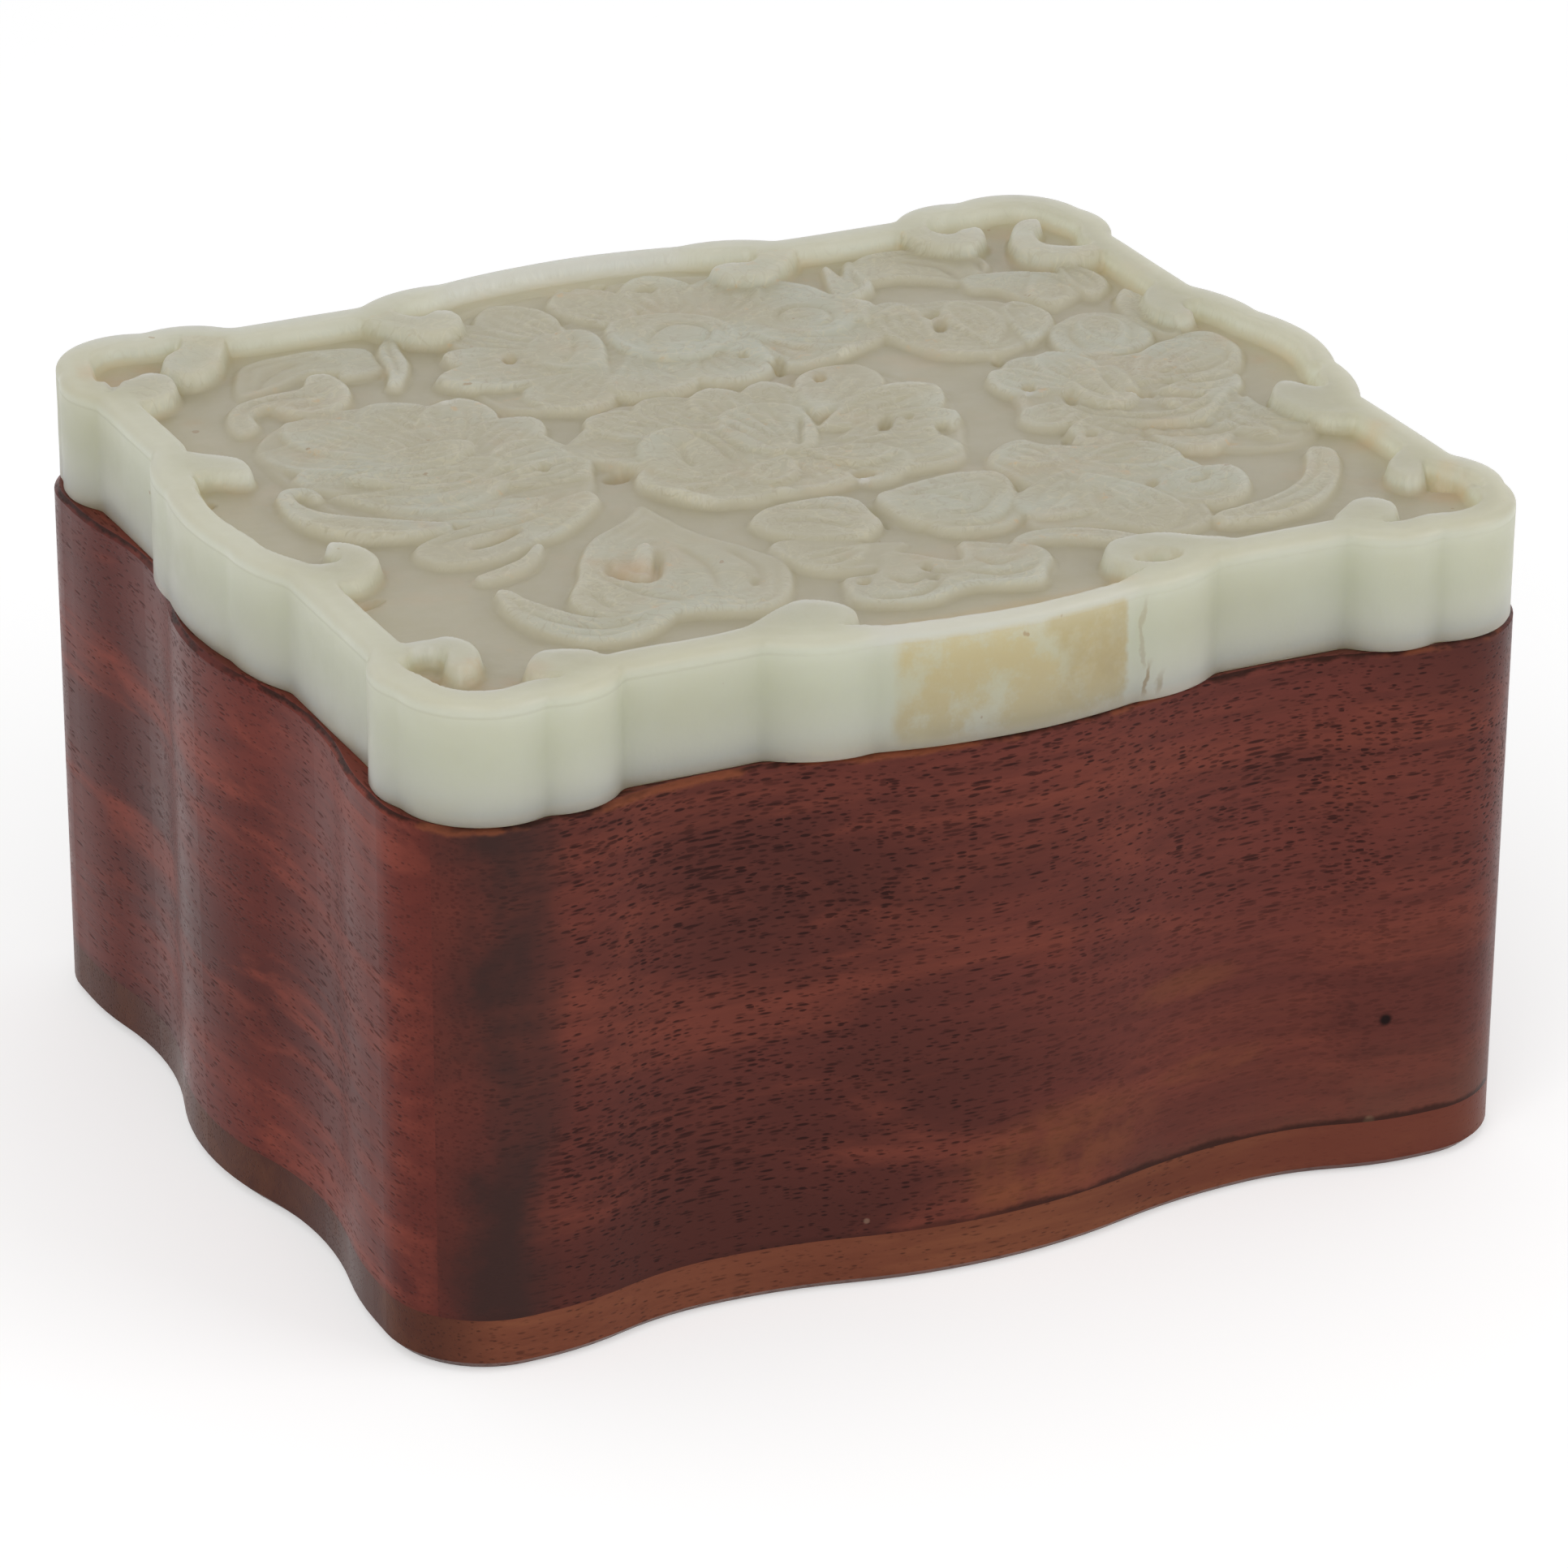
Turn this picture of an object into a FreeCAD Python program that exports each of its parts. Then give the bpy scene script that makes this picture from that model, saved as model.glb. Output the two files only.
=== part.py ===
import FreeCAD, Part
import math
import os

# A lobed hardwood box for one ink stone and one ink stick. Its lid is a thick
# carved jade plaque, glued to a board that drops into the mouth of the box.
# Millimetres. +Z is up, the origin is the middle of the underside, the long
# front side faces -Y. The four sides are shaped boards, mitred at the corners.

V = FreeCAD.Vector
UP = V(0, 0, 1)

# ---- driving dimensions ------------------------------------------------------

# What the box holds: an ink stone in front and an ink stick behind it
stone_length = 86.0
stone_width = 43.0
stick_length = 82.0
stick_width = 15.0
end_border = 7.0            # bed between the stone and the short boards
stone_border = 5.4          # bed in front of the stone and behind it
stick_border = 4.5
divider_thick = 4.0

# Heights
base_thick = 5.2            # bottom board
wall_height = 49.2          # side boards, from the bottom board to the rim
plaque_thick = 12.1         # jade

# Wavy outside of the wood. Each side is a smooth wave: a crest in the middle,
# a hollow, and a crest that runs on into the rounded corner.
wall_min = 6.4              # board thickness in the hollows
long_middle_rise = 3.6      # middle crest of a long side, above its hollow
long_hollow_at = 29.0       # hollow, from the middle of the long side
long_crest_rise = 2.6       # crest beside the corner, above the hollow
long_crest_flat = 1.5       # straight run from that crest to the corner arc
short_middle_rise = 3.4
short_hollow_at = 21.5
short_crest_rise = 1.6
short_crest_flat = 2.9
wood_corner_r = 10.0
rim_ease = 0.5              # worn top edge of the boards
foot_ease = 0.8             # worn lower edge of the bottom board

# Outline of the jade: straight recesses between lobes that meet in cusps.
# Cusps near the middle of a side are placed from the middle, and cusps near
# a corner are placed from the lines of the two recesses that meet there.
plaque_inset_x = 0.4        # recesses of the short sides, inside the wood's hollows
plaque_inset_y = 0.3
long_lobe_half = 13.4       # middle lobe of a long side
long_lobe_rise = 2.7        # its cusps, above the recess
long_lobe_bow = 1.6
long_shoulder_half = 23.2   # end of the small lobe beside it
long_shoulder_bow = 1.1
short_lobe_half = 7.8
short_lobe_rise = 2.5
short_lobe_bow = 1.7
short_shoulder_half = 16.9
short_shoulder_bow = 0.7
left_lobe_rise = 2.2        # the left side was cut flatter, and a little towards the back
left_lobe_bow = 0.8
left_lobe_shift = 2.2
corner_long_start = 19.0    # recess end on a long side, back from the corner
corner_long_cusp = 10.5     # cusp between the small lobe and the corner lobe
corner_long_rise = 2.4
corner_long_bow = 1.5
corner_short_start = 12.8
corner_short_cusp = 4.7
corner_short_rise = 0.8
corner_short_bow = 1.2
corner_bow = 3.5
groove_r = 0.8              # worn bottom of the groove between two lobes
arris_ease = 0.9            # worn upper edge of the jade

# Carved top of the jade: a sunk field inside a raised rim. The rim is narrow in
# the lobes and broad along the recesses, and each broad part ends in two scrolls.
field_depth = 2.2
rim_width = 2.6
rail_width = 3.7            # rim along a recess
hook_r = 2.8                # scroll
hook_reach = 1.0            # scroll centre, inward of the rail's inner edge
lower_height = 1.15         # lower layer of the carving, above the field
upper_height = 1.6          # upper layer
petal_bow = 0.15            # bulge of a petal's end, as a share of its width
drawn_half_x = 56.0         # the carving is drawn for recesses at these lines
drawn_half_y = 47.0         # and stretched with the stone

# Lid board
lid_board_thick = 4.5
lid_board_play = 0.4        # each side, in the mouth
lid_board_ease = 0.8

# Mitre splines: one stopped tongue across each corner joint
spline_thick = 2.0
spline_width = 5.0
spline_depth_in = 4.0       # from the cavity corner, along the mitre
spline_stop = 9.0           # solid wood left above the slot

# Bamboo pegs that hold the bottom board, whittled to eight sides
peg_r = 1.1
peg_sides = 8
peg_bite = 9.0              # length of peg in a side board
peg_sink = 0.2              # peg ends, above the underside
peg_line_in = 3.4           # from the cavity face
peg_along_x = 30.0
peg_along_y = 22.0

# Fittings inside
fit_play = 0.2              # between loose-fitted pieces
divider_height = 33.0
divider_housing = 2.0       # depth of its groove in each short board
scoop_r = 13.0              # finger scoop in the divider's upper edge
scoop_depth = 8.0
stone_bed_height = 12.0
stone_seat_depth = 7.0
stone_corner_r = 4.0
stick_bed_height = 22.0
stick_seat_depth = 9.0
stick_corner_r = 3.0
grip_width = 22.0           # finger gap across the stick seat
grip_depth = 6.0

# ---- dependent sizes ---------------------------------------------------------

rim_z = base_thick + wall_height
top_z = rim_z + plaque_thick
field_z = top_z - field_depth
stone_bay = stone_width + 2 * stone_border
stick_bay = stick_width + 2 * stick_border
cavity_half_x = stone_length / 2 + end_border
cavity_half_y = (stone_bay + divider_thick + stick_bay) / 2
divider_y = cavity_half_y - stick_bay - divider_thick / 2
hollow_x = cavity_half_x + wall_min
hollow_y = cavity_half_y + wall_min
recess_half_x = hollow_x - plaque_inset_x
recess_half_y = hollow_y - plaque_inset_y


# ---- small helpers -----------------------------------------------------------

def box(x0, x1, y0, y1, z0, z1):
    return Part.makeBox(x1 - x0, y1 - y0, z1 - z0, V(x0, y0, z0))


def upright_edges(solid):
    return [e for e in solid.Edges if abs(e.tangentAt(e.FirstParameter).z) > 0.99]


def level_edges(solid, z):
    return [e for e in solid.Edges if e.BoundBox.ZLength < 1e-6 and abs(e.BoundBox.ZMin - z) < 1e-6]


def rounded_box(cx, cy, width_x, width_y, z0, z1, r):
    block = box(cx - width_x / 2, cx + width_x / 2, cy - width_y / 2, cy + width_y / 2, z0, z1)
    return block.makeFillet(r, upright_edges(block))


def slab(wire, z0, z1):
    face = Part.Face(wire)
    face.translate(V(0, 0, z0 - wire.BoundBox.ZMin))
    return face.extrude(V(0, 0, z1 - z0))


def bowed(a, b, bow):
    """Arc from a to b, bowed outward from the middle of the box by its rise over the chord."""
    if bow == 0:
        return Part.LineSegment(a, b).toShape()
    out = V(a.y - b.y, b.x - a.x, 0).normalize()
    mid = (a + b) / 2
    if out.dot(mid) < 0:
        out = -out
    return Part.Arc(a, mid + out * bow, b).toShape()


# ---- outlines ----------------------------------------------------------------

def plaque_outline():
    """Jade outline: every lobe is one arc and every recess is one line."""
    long_cusps = [
        (long_lobe_half, long_lobe_rise, None),
        (long_shoulder_half, 0, long_shoulder_bow),
        (recess_half_x - corner_long_start, 0, 0),
        (recess_half_x - corner_long_cusp, corner_long_rise, corner_long_bow),
    ]
    edges = []
    for sy in (1, -1):
        start = V(-long_lobe_half, sy * (recess_half_y + long_lobe_rise), 0)
        edges.append(bowed(start, V(-start.x, start.y, 0), long_lobe_bow))
    for sx, lobe_rise, lobe_bow, shift in ((1, short_lobe_rise, short_lobe_bow, 0),
                                           (-1, left_lobe_rise, left_lobe_bow, left_lobe_shift)):
        short_cusps = [
            (short_lobe_half, lobe_rise, shift, None),
            (short_shoulder_half, 0, shift, short_shoulder_bow),
            (recess_half_y - corner_short_start, 0, 0, 0),
            (recess_half_y - corner_short_cusp, corner_short_rise, 0, corner_short_bow),
        ]
        lobe_x = sx * (recess_half_x + lobe_rise)
        lobe_start = V(lobe_x, shift + short_lobe_half, 0)
        edges.append(bowed(lobe_start, V(lobe_x, shift - short_lobe_half, 0), lobe_bow))
        for sy in (1, -1):
            along = [V(sx * x, sy * (recess_half_y + rise), 0) for x, rise, _ in long_cusps]
            up = [V(sx * (recess_half_x + rise), sy * y + move, 0) for y, rise, move, _ in short_cusps]
            edges.append(bowed(along[-1], up[-1], corner_bow))
            for run, cusps in ((along, long_cusps), (up, short_cusps)):
                for k in range(1, len(run)):
                    edges.append(bowed(run[k - 1], run[k], cusps[k][-1]))
    return Part.Wire(Part.__sortEdges__(edges))


def wave(a, b, along):
    """Two equal arcs from a to b, each parallel to the side where it ends."""
    run = along * (b - a).dot(along)
    rise = b - a - run
    radius = (run.Length ** 2 + rise.Length ** 2) / (4 * rise.Length)
    to_centre = rise * (radius / rise.Length)
    middle = (a + b) / 2
    edges = []
    for end, centre in ((a, a + to_centre), (b, b - to_centre)):
        through = centre + ((end + middle) / 2 - centre).normalize() * radius
        edges.append(Part.Arc(end, through, middle).toShape())
    return edges


def wood_outline():
    """Outside of the boards: waves along the sides and one arc round each corner."""
    crest_x = hollow_x + short_crest_rise
    crest_y = hollow_y + long_crest_rise
    bend_x, bend_y = crest_x - wood_corner_r, crest_y - wood_corner_r
    long_crest_at = bend_x - long_crest_flat
    short_crest_at = bend_y - short_crest_flat
    edges = []
    for sx in (1, -1):
        for sy in (1, -1):
            edges += wave(V(0, sy * (hollow_y + long_middle_rise), 0),
                          V(sx * long_hollow_at, sy * hollow_y, 0), V(1, 0, 0))
            edges += wave(V(sx * long_hollow_at, sy * hollow_y, 0),
                          V(sx * long_crest_at, sy * crest_y, 0), V(1, 0, 0))
            edges += wave(V(sx * (hollow_x + short_middle_rise), 0, 0),
                          V(sx * hollow_x, sy * short_hollow_at, 0), V(0, 1, 0))
            edges += wave(V(sx * hollow_x, sy * short_hollow_at, 0),
                          V(sx * crest_x, sy * short_crest_at, 0), V(0, 1, 0))
            edges.append(Part.LineSegment(V(sx * long_crest_at, sy * crest_y, 0),
                                          V(sx * bend_x, sy * crest_y, 0)).toShape())
            edges.append(Part.LineSegment(V(sx * crest_x, sy * short_crest_at, 0),
                                          V(sx * crest_x, sy * bend_y, 0)).toShape())
            mid = V(sx * (bend_x + wood_corner_r * math.sqrt(0.5)),
                    sy * (bend_y + wood_corner_r * math.sqrt(0.5)), 0)
            edges.append(Part.Arc(V(sx * bend_x, sy * crest_y, 0), mid,
                                  V(sx * crest_x, sy * bend_y, 0)).toShape())
    return Part.Wire(Part.__sortEdges__(edges))


# ---- jade --------------------------------------------------------------------

def rim_extras():
    """Broad rails along the recesses, with a scroll at both ends of each."""
    rail_x, rail_y = recess_half_x - rail_width, recess_half_y - rail_width
    long_ends = (long_shoulder_half, recess_half_x - corner_long_start)
    short_ends = (short_shoulder_half, recess_half_y - corner_short_start)
    solids = []
    for sx in (1, -1):
        for sy in (1, -1):
            corner = V(sx * recess_half_x, sy * recess_half_y, 0)
            for a, b in ((V(sx * long_ends[0], sy * rail_y, 0), V(sx * long_ends[1], corner.y, 0)),
                         (V(sx * rail_x, sy * short_ends[0], 0), V(corner.x, sy * short_ends[1], 0))):
                solids.append(box(min(a.x, b.x), max(a.x, b.x), min(a.y, b.y), max(a.y, b.y),
                                  rim_z, top_z))
            centres = [V(sx * end, sy * (rail_y - hook_reach), rim_z) for end in long_ends]
            centres += [V(sx * (rail_x - hook_reach), sy * end, rim_z) for end in short_ends]
            solids += [Part.makeCylinder(hook_r, plaque_thick, centre) for centre in centres]
    return solids


def drawn(points):
    return [V(x * recess_half_x / drawn_half_x, y * recess_half_y / drawn_half_y, 0) for x, y in points]


def leaf(height, *points):
    """Leaf, whorl or tendril: a chain of arcs, each through three points, with its ends shared."""
    points = drawn(points)
    arcs = [Part.Arc(points[k], points[k + 1], points[(k + 2) % len(points)]).toShape()
            for k in range(0, len(points), 2)]
    return slab(Part.Wire(arcs), rim_z, field_z + height)


def blossom(height, *points):
    """Flower from above: the points are the notches, with the end of one petal between two of them."""
    points = drawn(points)
    centre = sum(points, V(0, 0, 0)) / len(points)
    edges = []
    for a, b in zip(points, points[1:] + points[:1]):
        out = V(b.y - a.y, a.x - b.x, 0)
        if out.dot((a + b) / 2 - centre) < 0:
            out = -out
        edges.append(Part.Arc(a, (a + b) / 2 + out * petal_bow, b).toShape())
    return slab(Part.Wire(edges), rim_z, field_z + height)


def carving():
    """Two layers of flowers and leaves, from the back to the front of the field."""
    low, high = lower_height, upper_height
    return [
        # back flower and its heart
        blossom(low, (-21, 19.5), (-10.4, 15.8), (-0.6, 15.6), (8, 17.6), (19.5, 18),
                (24.5, 26.5), (20, 34.5), (10.5, 42.4), (-3, 43.4), (-14.5, 38.8),
                (-20.8, 29.5)),
        leaf(high, (-3.2, 28.5), (-1, 33.4), (4.5, 34), (9.2, 28.5), (6.5, 22.4), (0, 21.4)),
        # back left leaf, and the curl below it
        leaf(low, (-42.5, 31.5), (-40.5, 36.6), (-33, 38.6), (-26.5, 37.3), (-27.2, 32.6),
             (-34, 33)),
        leaf(high, (-46, 22.5), (-43.8, 28.6), (-37, 30), (-32.4, 30.6), (-33.4, 24.8),
             (-39.5, 25)),
        # left flower, its bowl and the tendril under it
        blossom(low, (-46.5, 3), (-39, -8), (-27, -8.6), (-19.8, -1), (-20.6, 9), (-28, 20),
                (-39, 22), (-45.8, 14)),
        leaf(high, (-43, 3), (-37, 9), (-28, 8.5), (-23.6, 2.5), (-30, -2.8), (-38.5, -3.2)),
        leaf(high, (-46.2, 4.9), (-49.2, 3.5), (-49.4, -1.5), (-46.4, -6.4), (-40.5, -9.4),
             (-37.6, -8.6), (-41.6, -5.2), (-45.6, -1.4)),
        leaf(low, (-42.8, -14.5), (-38.5, -10.8), (-31, -10.2), (-22.8, -7.6), (-28.5, -14.2),
             (-36.5, -17.2)),
        # middle flower
        blossom(low, (-19, 6), (-16, -6), (-8.5, -13.4), (4, -13), (14.5, -10.6), (19.8, -1),
                (18.6, 8), (10, 12.6), (1, 10.4), (-10, 12)),
        leaf(high, (-4, 1), (-1.8, 6.2), (3.2, 6.8), (5.2, 2.6), (2, -5.2), (-2.4, -5)),
        # leaves at the back right
        leaf(low, (27.5, 34), (30.5, 38.2), (37, 38.4), (41, 35), (38, 30.4), (32.5, 32.6)),
        leaf(low, (36.8, 28), (44.4, 29.6), (45.4, 20.8), (38.8, 20.8)),
        leaf(low, (23, 18), (25, 25), (31, 26.4), (37.6, 21.5), (35, 12), (27.5, 10.8)),
        leaf(low, (36.8, 7), (37.4, 12.5), (42.5, 16), (46.8, 12.5), (45.6, 7.4), (41, 3)),
        # right flower and its heart
        blossom(low, (26, 3), (25.4, -6), (31.4, -15.6), (40.5, -21.6), (46, -19.5), (45.4, -11),
                (48.4, -3.5), (51.4, 4), (42, 5), (33, 7.2)),
        leaf(high, (31.4, -5), (31.8, 0.8), (38.2, 1.6), (37.6, -6)),
        # front left leaf and the crescent beside it
        leaf(low, (-18.8, -11.4), (-28, -18.4), (-32, -27.5), (-31.4, -33.6), (-24, -37.8),
             (-15, -35), (-12.6, -28), (-14.6, -19)),
        leaf(low, (-39.8, -24.8), (-40.4, -30), (-37.6, -35.4), (-32.6, -38.6), (-27.6, -38.4),
             (-32.4, -35.6), (-35.6, -32.4), (-37.6, -28.6)),
        # pair of petals and the bud, in the middle of the front
        leaf(high, (-11.2, -19.8), (-6, -17), (-0.8, -18), (-0.4, -23.6), (-4, -26.8),
             (-8.8, -25)),
        leaf(high, (1.4, -20), (6.5, -17), (14, -17.8), (13.8, -24.2), (8.6, -27.8),
             (2.6, -26.2)),
        blossom(low, (-10.6, -39.5), (-8, -35.4), (-2.5, -34), (3, -34), (9.4, -35.8),
                (8.8, -40.6), (-1.5, -42.4)),
        # leaves at the front right
        blossom(low, (15.6, -17.5), (22, -13.8), (31.4, -20.5), (34.4, -27), (31, -33),
                (24, -36.4), (13.2, -31)),
        leaf(low, (48, -26), (45.2, -32.4), (40.2, -37.2), (34, -38.8), (30, -38), (34.4, -35.6),
             (40, -33.2), (44.6, -28.2)),
    ]


def make_plaque():
    outline = plaque_outline()
    blank = slab(outline, rim_z, top_z)
    blank = blank.makeFillet(groove_r, upright_edges(blank))
    blank = blank.makeChamfer(arris_ease, level_edges(blank, top_z))
    field = slab(outline.makeOffset2D(-rim_width), field_z, top_z + field_depth)
    field = field.cut(Part.makeCompound(rim_extras()))
    field = field.cut(carving())
    return blank.cut(field).removeSplitter()


# ---- wood --------------------------------------------------------------------

def pegs(r, z0, z1):
    places = [V(sx * peg_along_x, sy * (cavity_half_y + peg_line_in), z0)
              for sx in (1, -1) for sy in (1, -1)]
    places += [V(sx * (cavity_half_x + peg_line_in), sy * peg_along_y, z0)
               for sx in (1, -1) for sy in (1, -1)]
    turns = [2 * math.pi * k / peg_sides for k in range(peg_sides + 1)]
    rings = [[p + V(math.cos(t), math.sin(t), 0) * r for t in turns] for p in places]
    return Part.makeCompound([slab(Part.makePolygon(ring), z0, z1) for ring in rings])


def splines(play):
    """Upright tongues across the four mitres."""
    tongues = []
    for sx in (1, -1):
        for sy in (1, -1):
            half_t, half_w = spline_thick / 2 + play, spline_width / 2 + play
            tongue = box(-half_t, half_t, -half_w, half_w, base_thick, rim_z - spline_stop + play)
            tongue.rotate(V(0, 0, 0), UP, math.degrees(math.atan2(sy, sx)))
            reach = spline_depth_in * math.sqrt(0.5)
            tongue.translate(V(sx * (cavity_half_x + reach), sy * (cavity_half_y + reach), 0))
            tongues.append(tongue)
    return Part.makeCompound(tongues)


def make_walls():
    blank = slab(wood_outline(), base_thick, rim_z)
    blank = blank.makeChamfer(rim_ease, level_edges(blank, rim_z))
    ring = blank.cut(box(-cavity_half_x, cavity_half_x, -cavity_half_y, cavity_half_y, 0, top_z))
    ring = ring.cut(splines(fit_play / 2))
    ring = ring.cut(pegs(peg_r + fit_play / 4, 0, base_thick + peg_bite + fit_play))
    groove_x = cavity_half_x + divider_housing + fit_play
    groove_half = divider_thick / 2 + fit_play / 2
    ring = ring.cut(box(-groove_x, groove_x, divider_y - groove_half, divider_y + groove_half,
                        base_thick, base_thick + divider_height + fit_play))
    far = recess_half_x + recess_half_y
    walls = {}
    for name, side in (("front", (0, -1)), ("back", (0, 1)), ("left", (-1, 0)), ("right", (1, 0))):
        sx, sy = side
        corners = []
        for turn in (-1, 1):
            cx = sx if sx else turn
            cy = sy if sy else turn
            corners.append((V(cx * cavity_half_x, cy * cavity_half_y, 0),
                            V(cx * (cavity_half_x + far), cy * (cavity_half_y + far), 0)))
        wedge = Part.makePolygon([corners[0][0], corners[0][1], corners[1][1],
                                  corners[1][0], corners[0][0]])
        walls["wall_" + name] = ring.common(slab(wedge, 0, top_z))
    return walls


def make_base():
    base = slab(wood_outline(), 0, base_thick)
    base = base.makeChamfer(foot_ease, level_edges(base, 0))
    return base.cut(pegs(peg_r + fit_play / 4, -base_thick, 2 * base_thick))


def make_lid_board():
    half_x, half_y = cavity_half_x - lid_board_play, cavity_half_y - lid_board_play
    board = box(-half_x, half_x, -half_y, half_y, rim_z - lid_board_thick, rim_z)
    return board.makeChamfer(lid_board_ease, level_edges(board, rim_z - lid_board_thick))


def make_divider():
    half_x = cavity_half_x + divider_housing
    top = base_thick + divider_height
    board = box(-half_x, half_x, divider_y - divider_thick / 2, divider_y + divider_thick / 2,
                base_thick, top)
    scoop = Part.makeCylinder(scoop_r, 2 * divider_thick,
                              V(0, divider_y - divider_thick, top + scoop_r - scoop_depth), V(0, 1, 0))
    return board.cut(scoop)


def make_stone_bed():
    half_x = cavity_half_x - fit_play
    y0 = -cavity_half_y + fit_play
    y1 = y0 + stone_bay - 2 * fit_play
    top = base_thick + stone_bed_height
    seat = rounded_box(0, (y0 + y1) / 2, stone_length, stone_width,
                       top - stone_seat_depth, top + stone_seat_depth, stone_corner_r)
    return box(-half_x, half_x, y0, y1, base_thick, top).cut(seat)


def make_stick_bed():
    half_x = cavity_half_x - fit_play
    y1 = cavity_half_y - fit_play
    y0 = y1 - stick_bay + 2 * fit_play
    top = base_thick + stick_bed_height
    block = box(-half_x, half_x, y0, y1, base_thick, top)
    seat = rounded_box(0, (y0 + y1) / 2, stick_length, stick_width,
                       top - stick_seat_depth, top + stick_seat_depth, stick_corner_r)
    grip = box(-grip_width / 2, grip_width / 2, y0 - fit_play, y1 + fit_play,
               top - grip_depth, top + grip_depth)
    return block.cut(seat).cut(grip)


# ---- write the nodes ---------------------------------------------------------

nodes = {
    "jade_plaque": make_plaque(),
    "lid_board": make_lid_board(),
    "base_plate": make_base(),
    "corner_splines": splines(0),
    "base_pegs": pegs(peg_r, peg_sink, base_thick + peg_bite),
    "divider": make_divider(),
    "stone_bed": make_stone_bed(),
    "stick_bed": make_stick_bed(),
}
nodes.update(make_walls())

os.makedirs("parts", exist_ok=True)
for name, shape in nodes.items():
    shape.exportStep("parts/" + name + ".step")
    print(name, "solids", len(shape.Solids), "valid", shape.isValid(), "volume", round(shape.Volume, 1))
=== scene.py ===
import bmesh
import bpy
import math
import numpy as np
from mathutils import Matrix, Vector
from mathutils.geometry import delaunay_2d_cdt
from mathutils.kdtree import KDTree


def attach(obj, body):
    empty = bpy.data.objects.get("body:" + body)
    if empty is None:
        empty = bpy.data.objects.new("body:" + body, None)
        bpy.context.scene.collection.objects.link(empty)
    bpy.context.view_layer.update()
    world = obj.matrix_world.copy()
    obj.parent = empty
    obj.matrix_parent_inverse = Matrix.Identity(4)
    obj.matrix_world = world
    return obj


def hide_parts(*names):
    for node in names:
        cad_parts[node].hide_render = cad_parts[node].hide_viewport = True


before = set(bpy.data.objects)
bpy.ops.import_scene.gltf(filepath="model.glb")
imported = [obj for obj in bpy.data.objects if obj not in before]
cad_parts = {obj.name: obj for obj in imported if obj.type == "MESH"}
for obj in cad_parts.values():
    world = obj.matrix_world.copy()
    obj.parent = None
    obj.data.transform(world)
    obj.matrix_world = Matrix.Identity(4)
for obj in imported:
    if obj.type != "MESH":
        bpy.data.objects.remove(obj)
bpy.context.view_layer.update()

MM = 0.001

# Heights in millimetres
RIM_Z = 54.4                # top of the wood, bottom of the jade
TOP_Z = 66.5                # top of the jade
FIELD = -2.05               # floor of the carving, from the top of the jade

# ---- jade outline ----

RX, RY = 56.0, 47.0         # lines of the straight recesses
RAW_POINTS, OUTLINE_POINTS = 3600, 1440


def arc_points(a, b, bow, step=0.12):
    """Points from a to just before b, on an arc that bows outwards by `bow`."""
    a, b = np.array(a, float), np.array(b, float)
    chord = b - a
    length = np.hypot(*chord)
    n = max(int(length / step), 2)
    t = np.arange(n) / n
    if abs(bow) < 1e-6:
        return a + chord * t[:, None]
    out = np.array((chord[1], -chord[0])) / length
    if out @ (a + b) < 0:
        out = -out
    r = (length ** 2 / 4 + bow ** 2) / (2 * bow)
    centre = (a + b) / 2 + out * (bow - r)
    a0 = math.atan2(*(a - centre)[::-1])
    a1 = math.atan2(*(b - centre)[::-1])
    sweep = (a1 - a0 + math.pi) % (2 * math.pi) - math.pi
    ang = a0 + sweep * t
    return centre + r * np.stack([np.cos(ang), np.sin(ang)], 1)


def jade_outline():
    """Lobes and recesses side by side, as in the solid. The left side was cut flatter,
    and its middle sits a little towards the back."""
    along = [(13.4, RY + 2.7), (23.2, RY), (RX - 19.0, RY), (RX - 10.5, RY + 2.4)]
    along_bow, up_bow = (1.1, 0, 1.5), (0.7, 0, 1.2)
    lobe = {1: (2.5, 1.7, 0.0), -1: (2.2, 0.8, 2.2)}     # rise, bow and shift of the middle lobe

    def quarter(sx, sy):
        rise, _, shift = lobe[sx]
        a = [(sx * x, sy * y) for x, y in along]
        up = ((RX + rise, 7.8, shift), (RX, 16.9, shift), (RX, RY - 12.8, 0), (RX + 0.8, RY - 4.7, 0))
        b = [(sx * x, sy * y + move) for x, y, move in up]
        runs = [(a[k], a[k + 1], along_bow[k]) for k in range(3)] + [(a[3], b[3], 3.5)]
        runs += [(b[k + 1], b[k], up_bow[k]) for k in (2, 1, 0)]
        return runs if sx * sy > 0 else [(q, p, w) for p, q, w in runs[::-1]]

    def middle(sx, turn):
        rise, bow, shift = lobe[sx]
        x = sx * (RX + rise)
        return [((x, shift + 7.8 * turn), (x, shift - 7.8 * turn), bow)]

    runs = quarter(1, 1) + middle(1, 1) + quarter(1, -1)
    runs += [((13.4, -RY - 2.7), (-13.4, -RY - 2.7), 1.6)]
    runs += quarter(-1, -1) + middle(-1, -1) + quarter(-1, 1)
    runs += [((-13.4, RY + 2.7), (13.4, RY + 2.7), 1.6)]
    return np.concatenate([arc_points(*r) for r in runs])[::-1]


def closed_length(p):
    seg = np.linalg.norm(np.roll(p, -1, 0) - p, axis=1)
    return np.concatenate([[0], np.cumsum(seg)])


def resample(p, count):
    s = closed_length(p)
    q = np.concatenate([p, p[:1]])
    at = np.linspace(0, s[-1], count, endpoint=False)
    return np.stack([np.interp(at, s, q[:, k]) for k in (0, 1)], 1)


def bell(n, sigma, step):
    """Weights of a Gaussian filter that reaches n steps to each side."""
    w = np.exp(-0.5 * (np.arange(-n, n + 1) * step / sigma) ** 2)
    return w / w.sum()


def ring_smooth(p, sigma, step):
    """Smooth a closed line along its length: it rounds the cusps as wear does."""
    n = int(3 * sigma / step) + 1
    return sum(w * np.roll(p, k, 0) for w, k in zip(bell(n, sigma, step), range(-n, n + 1)))


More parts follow.
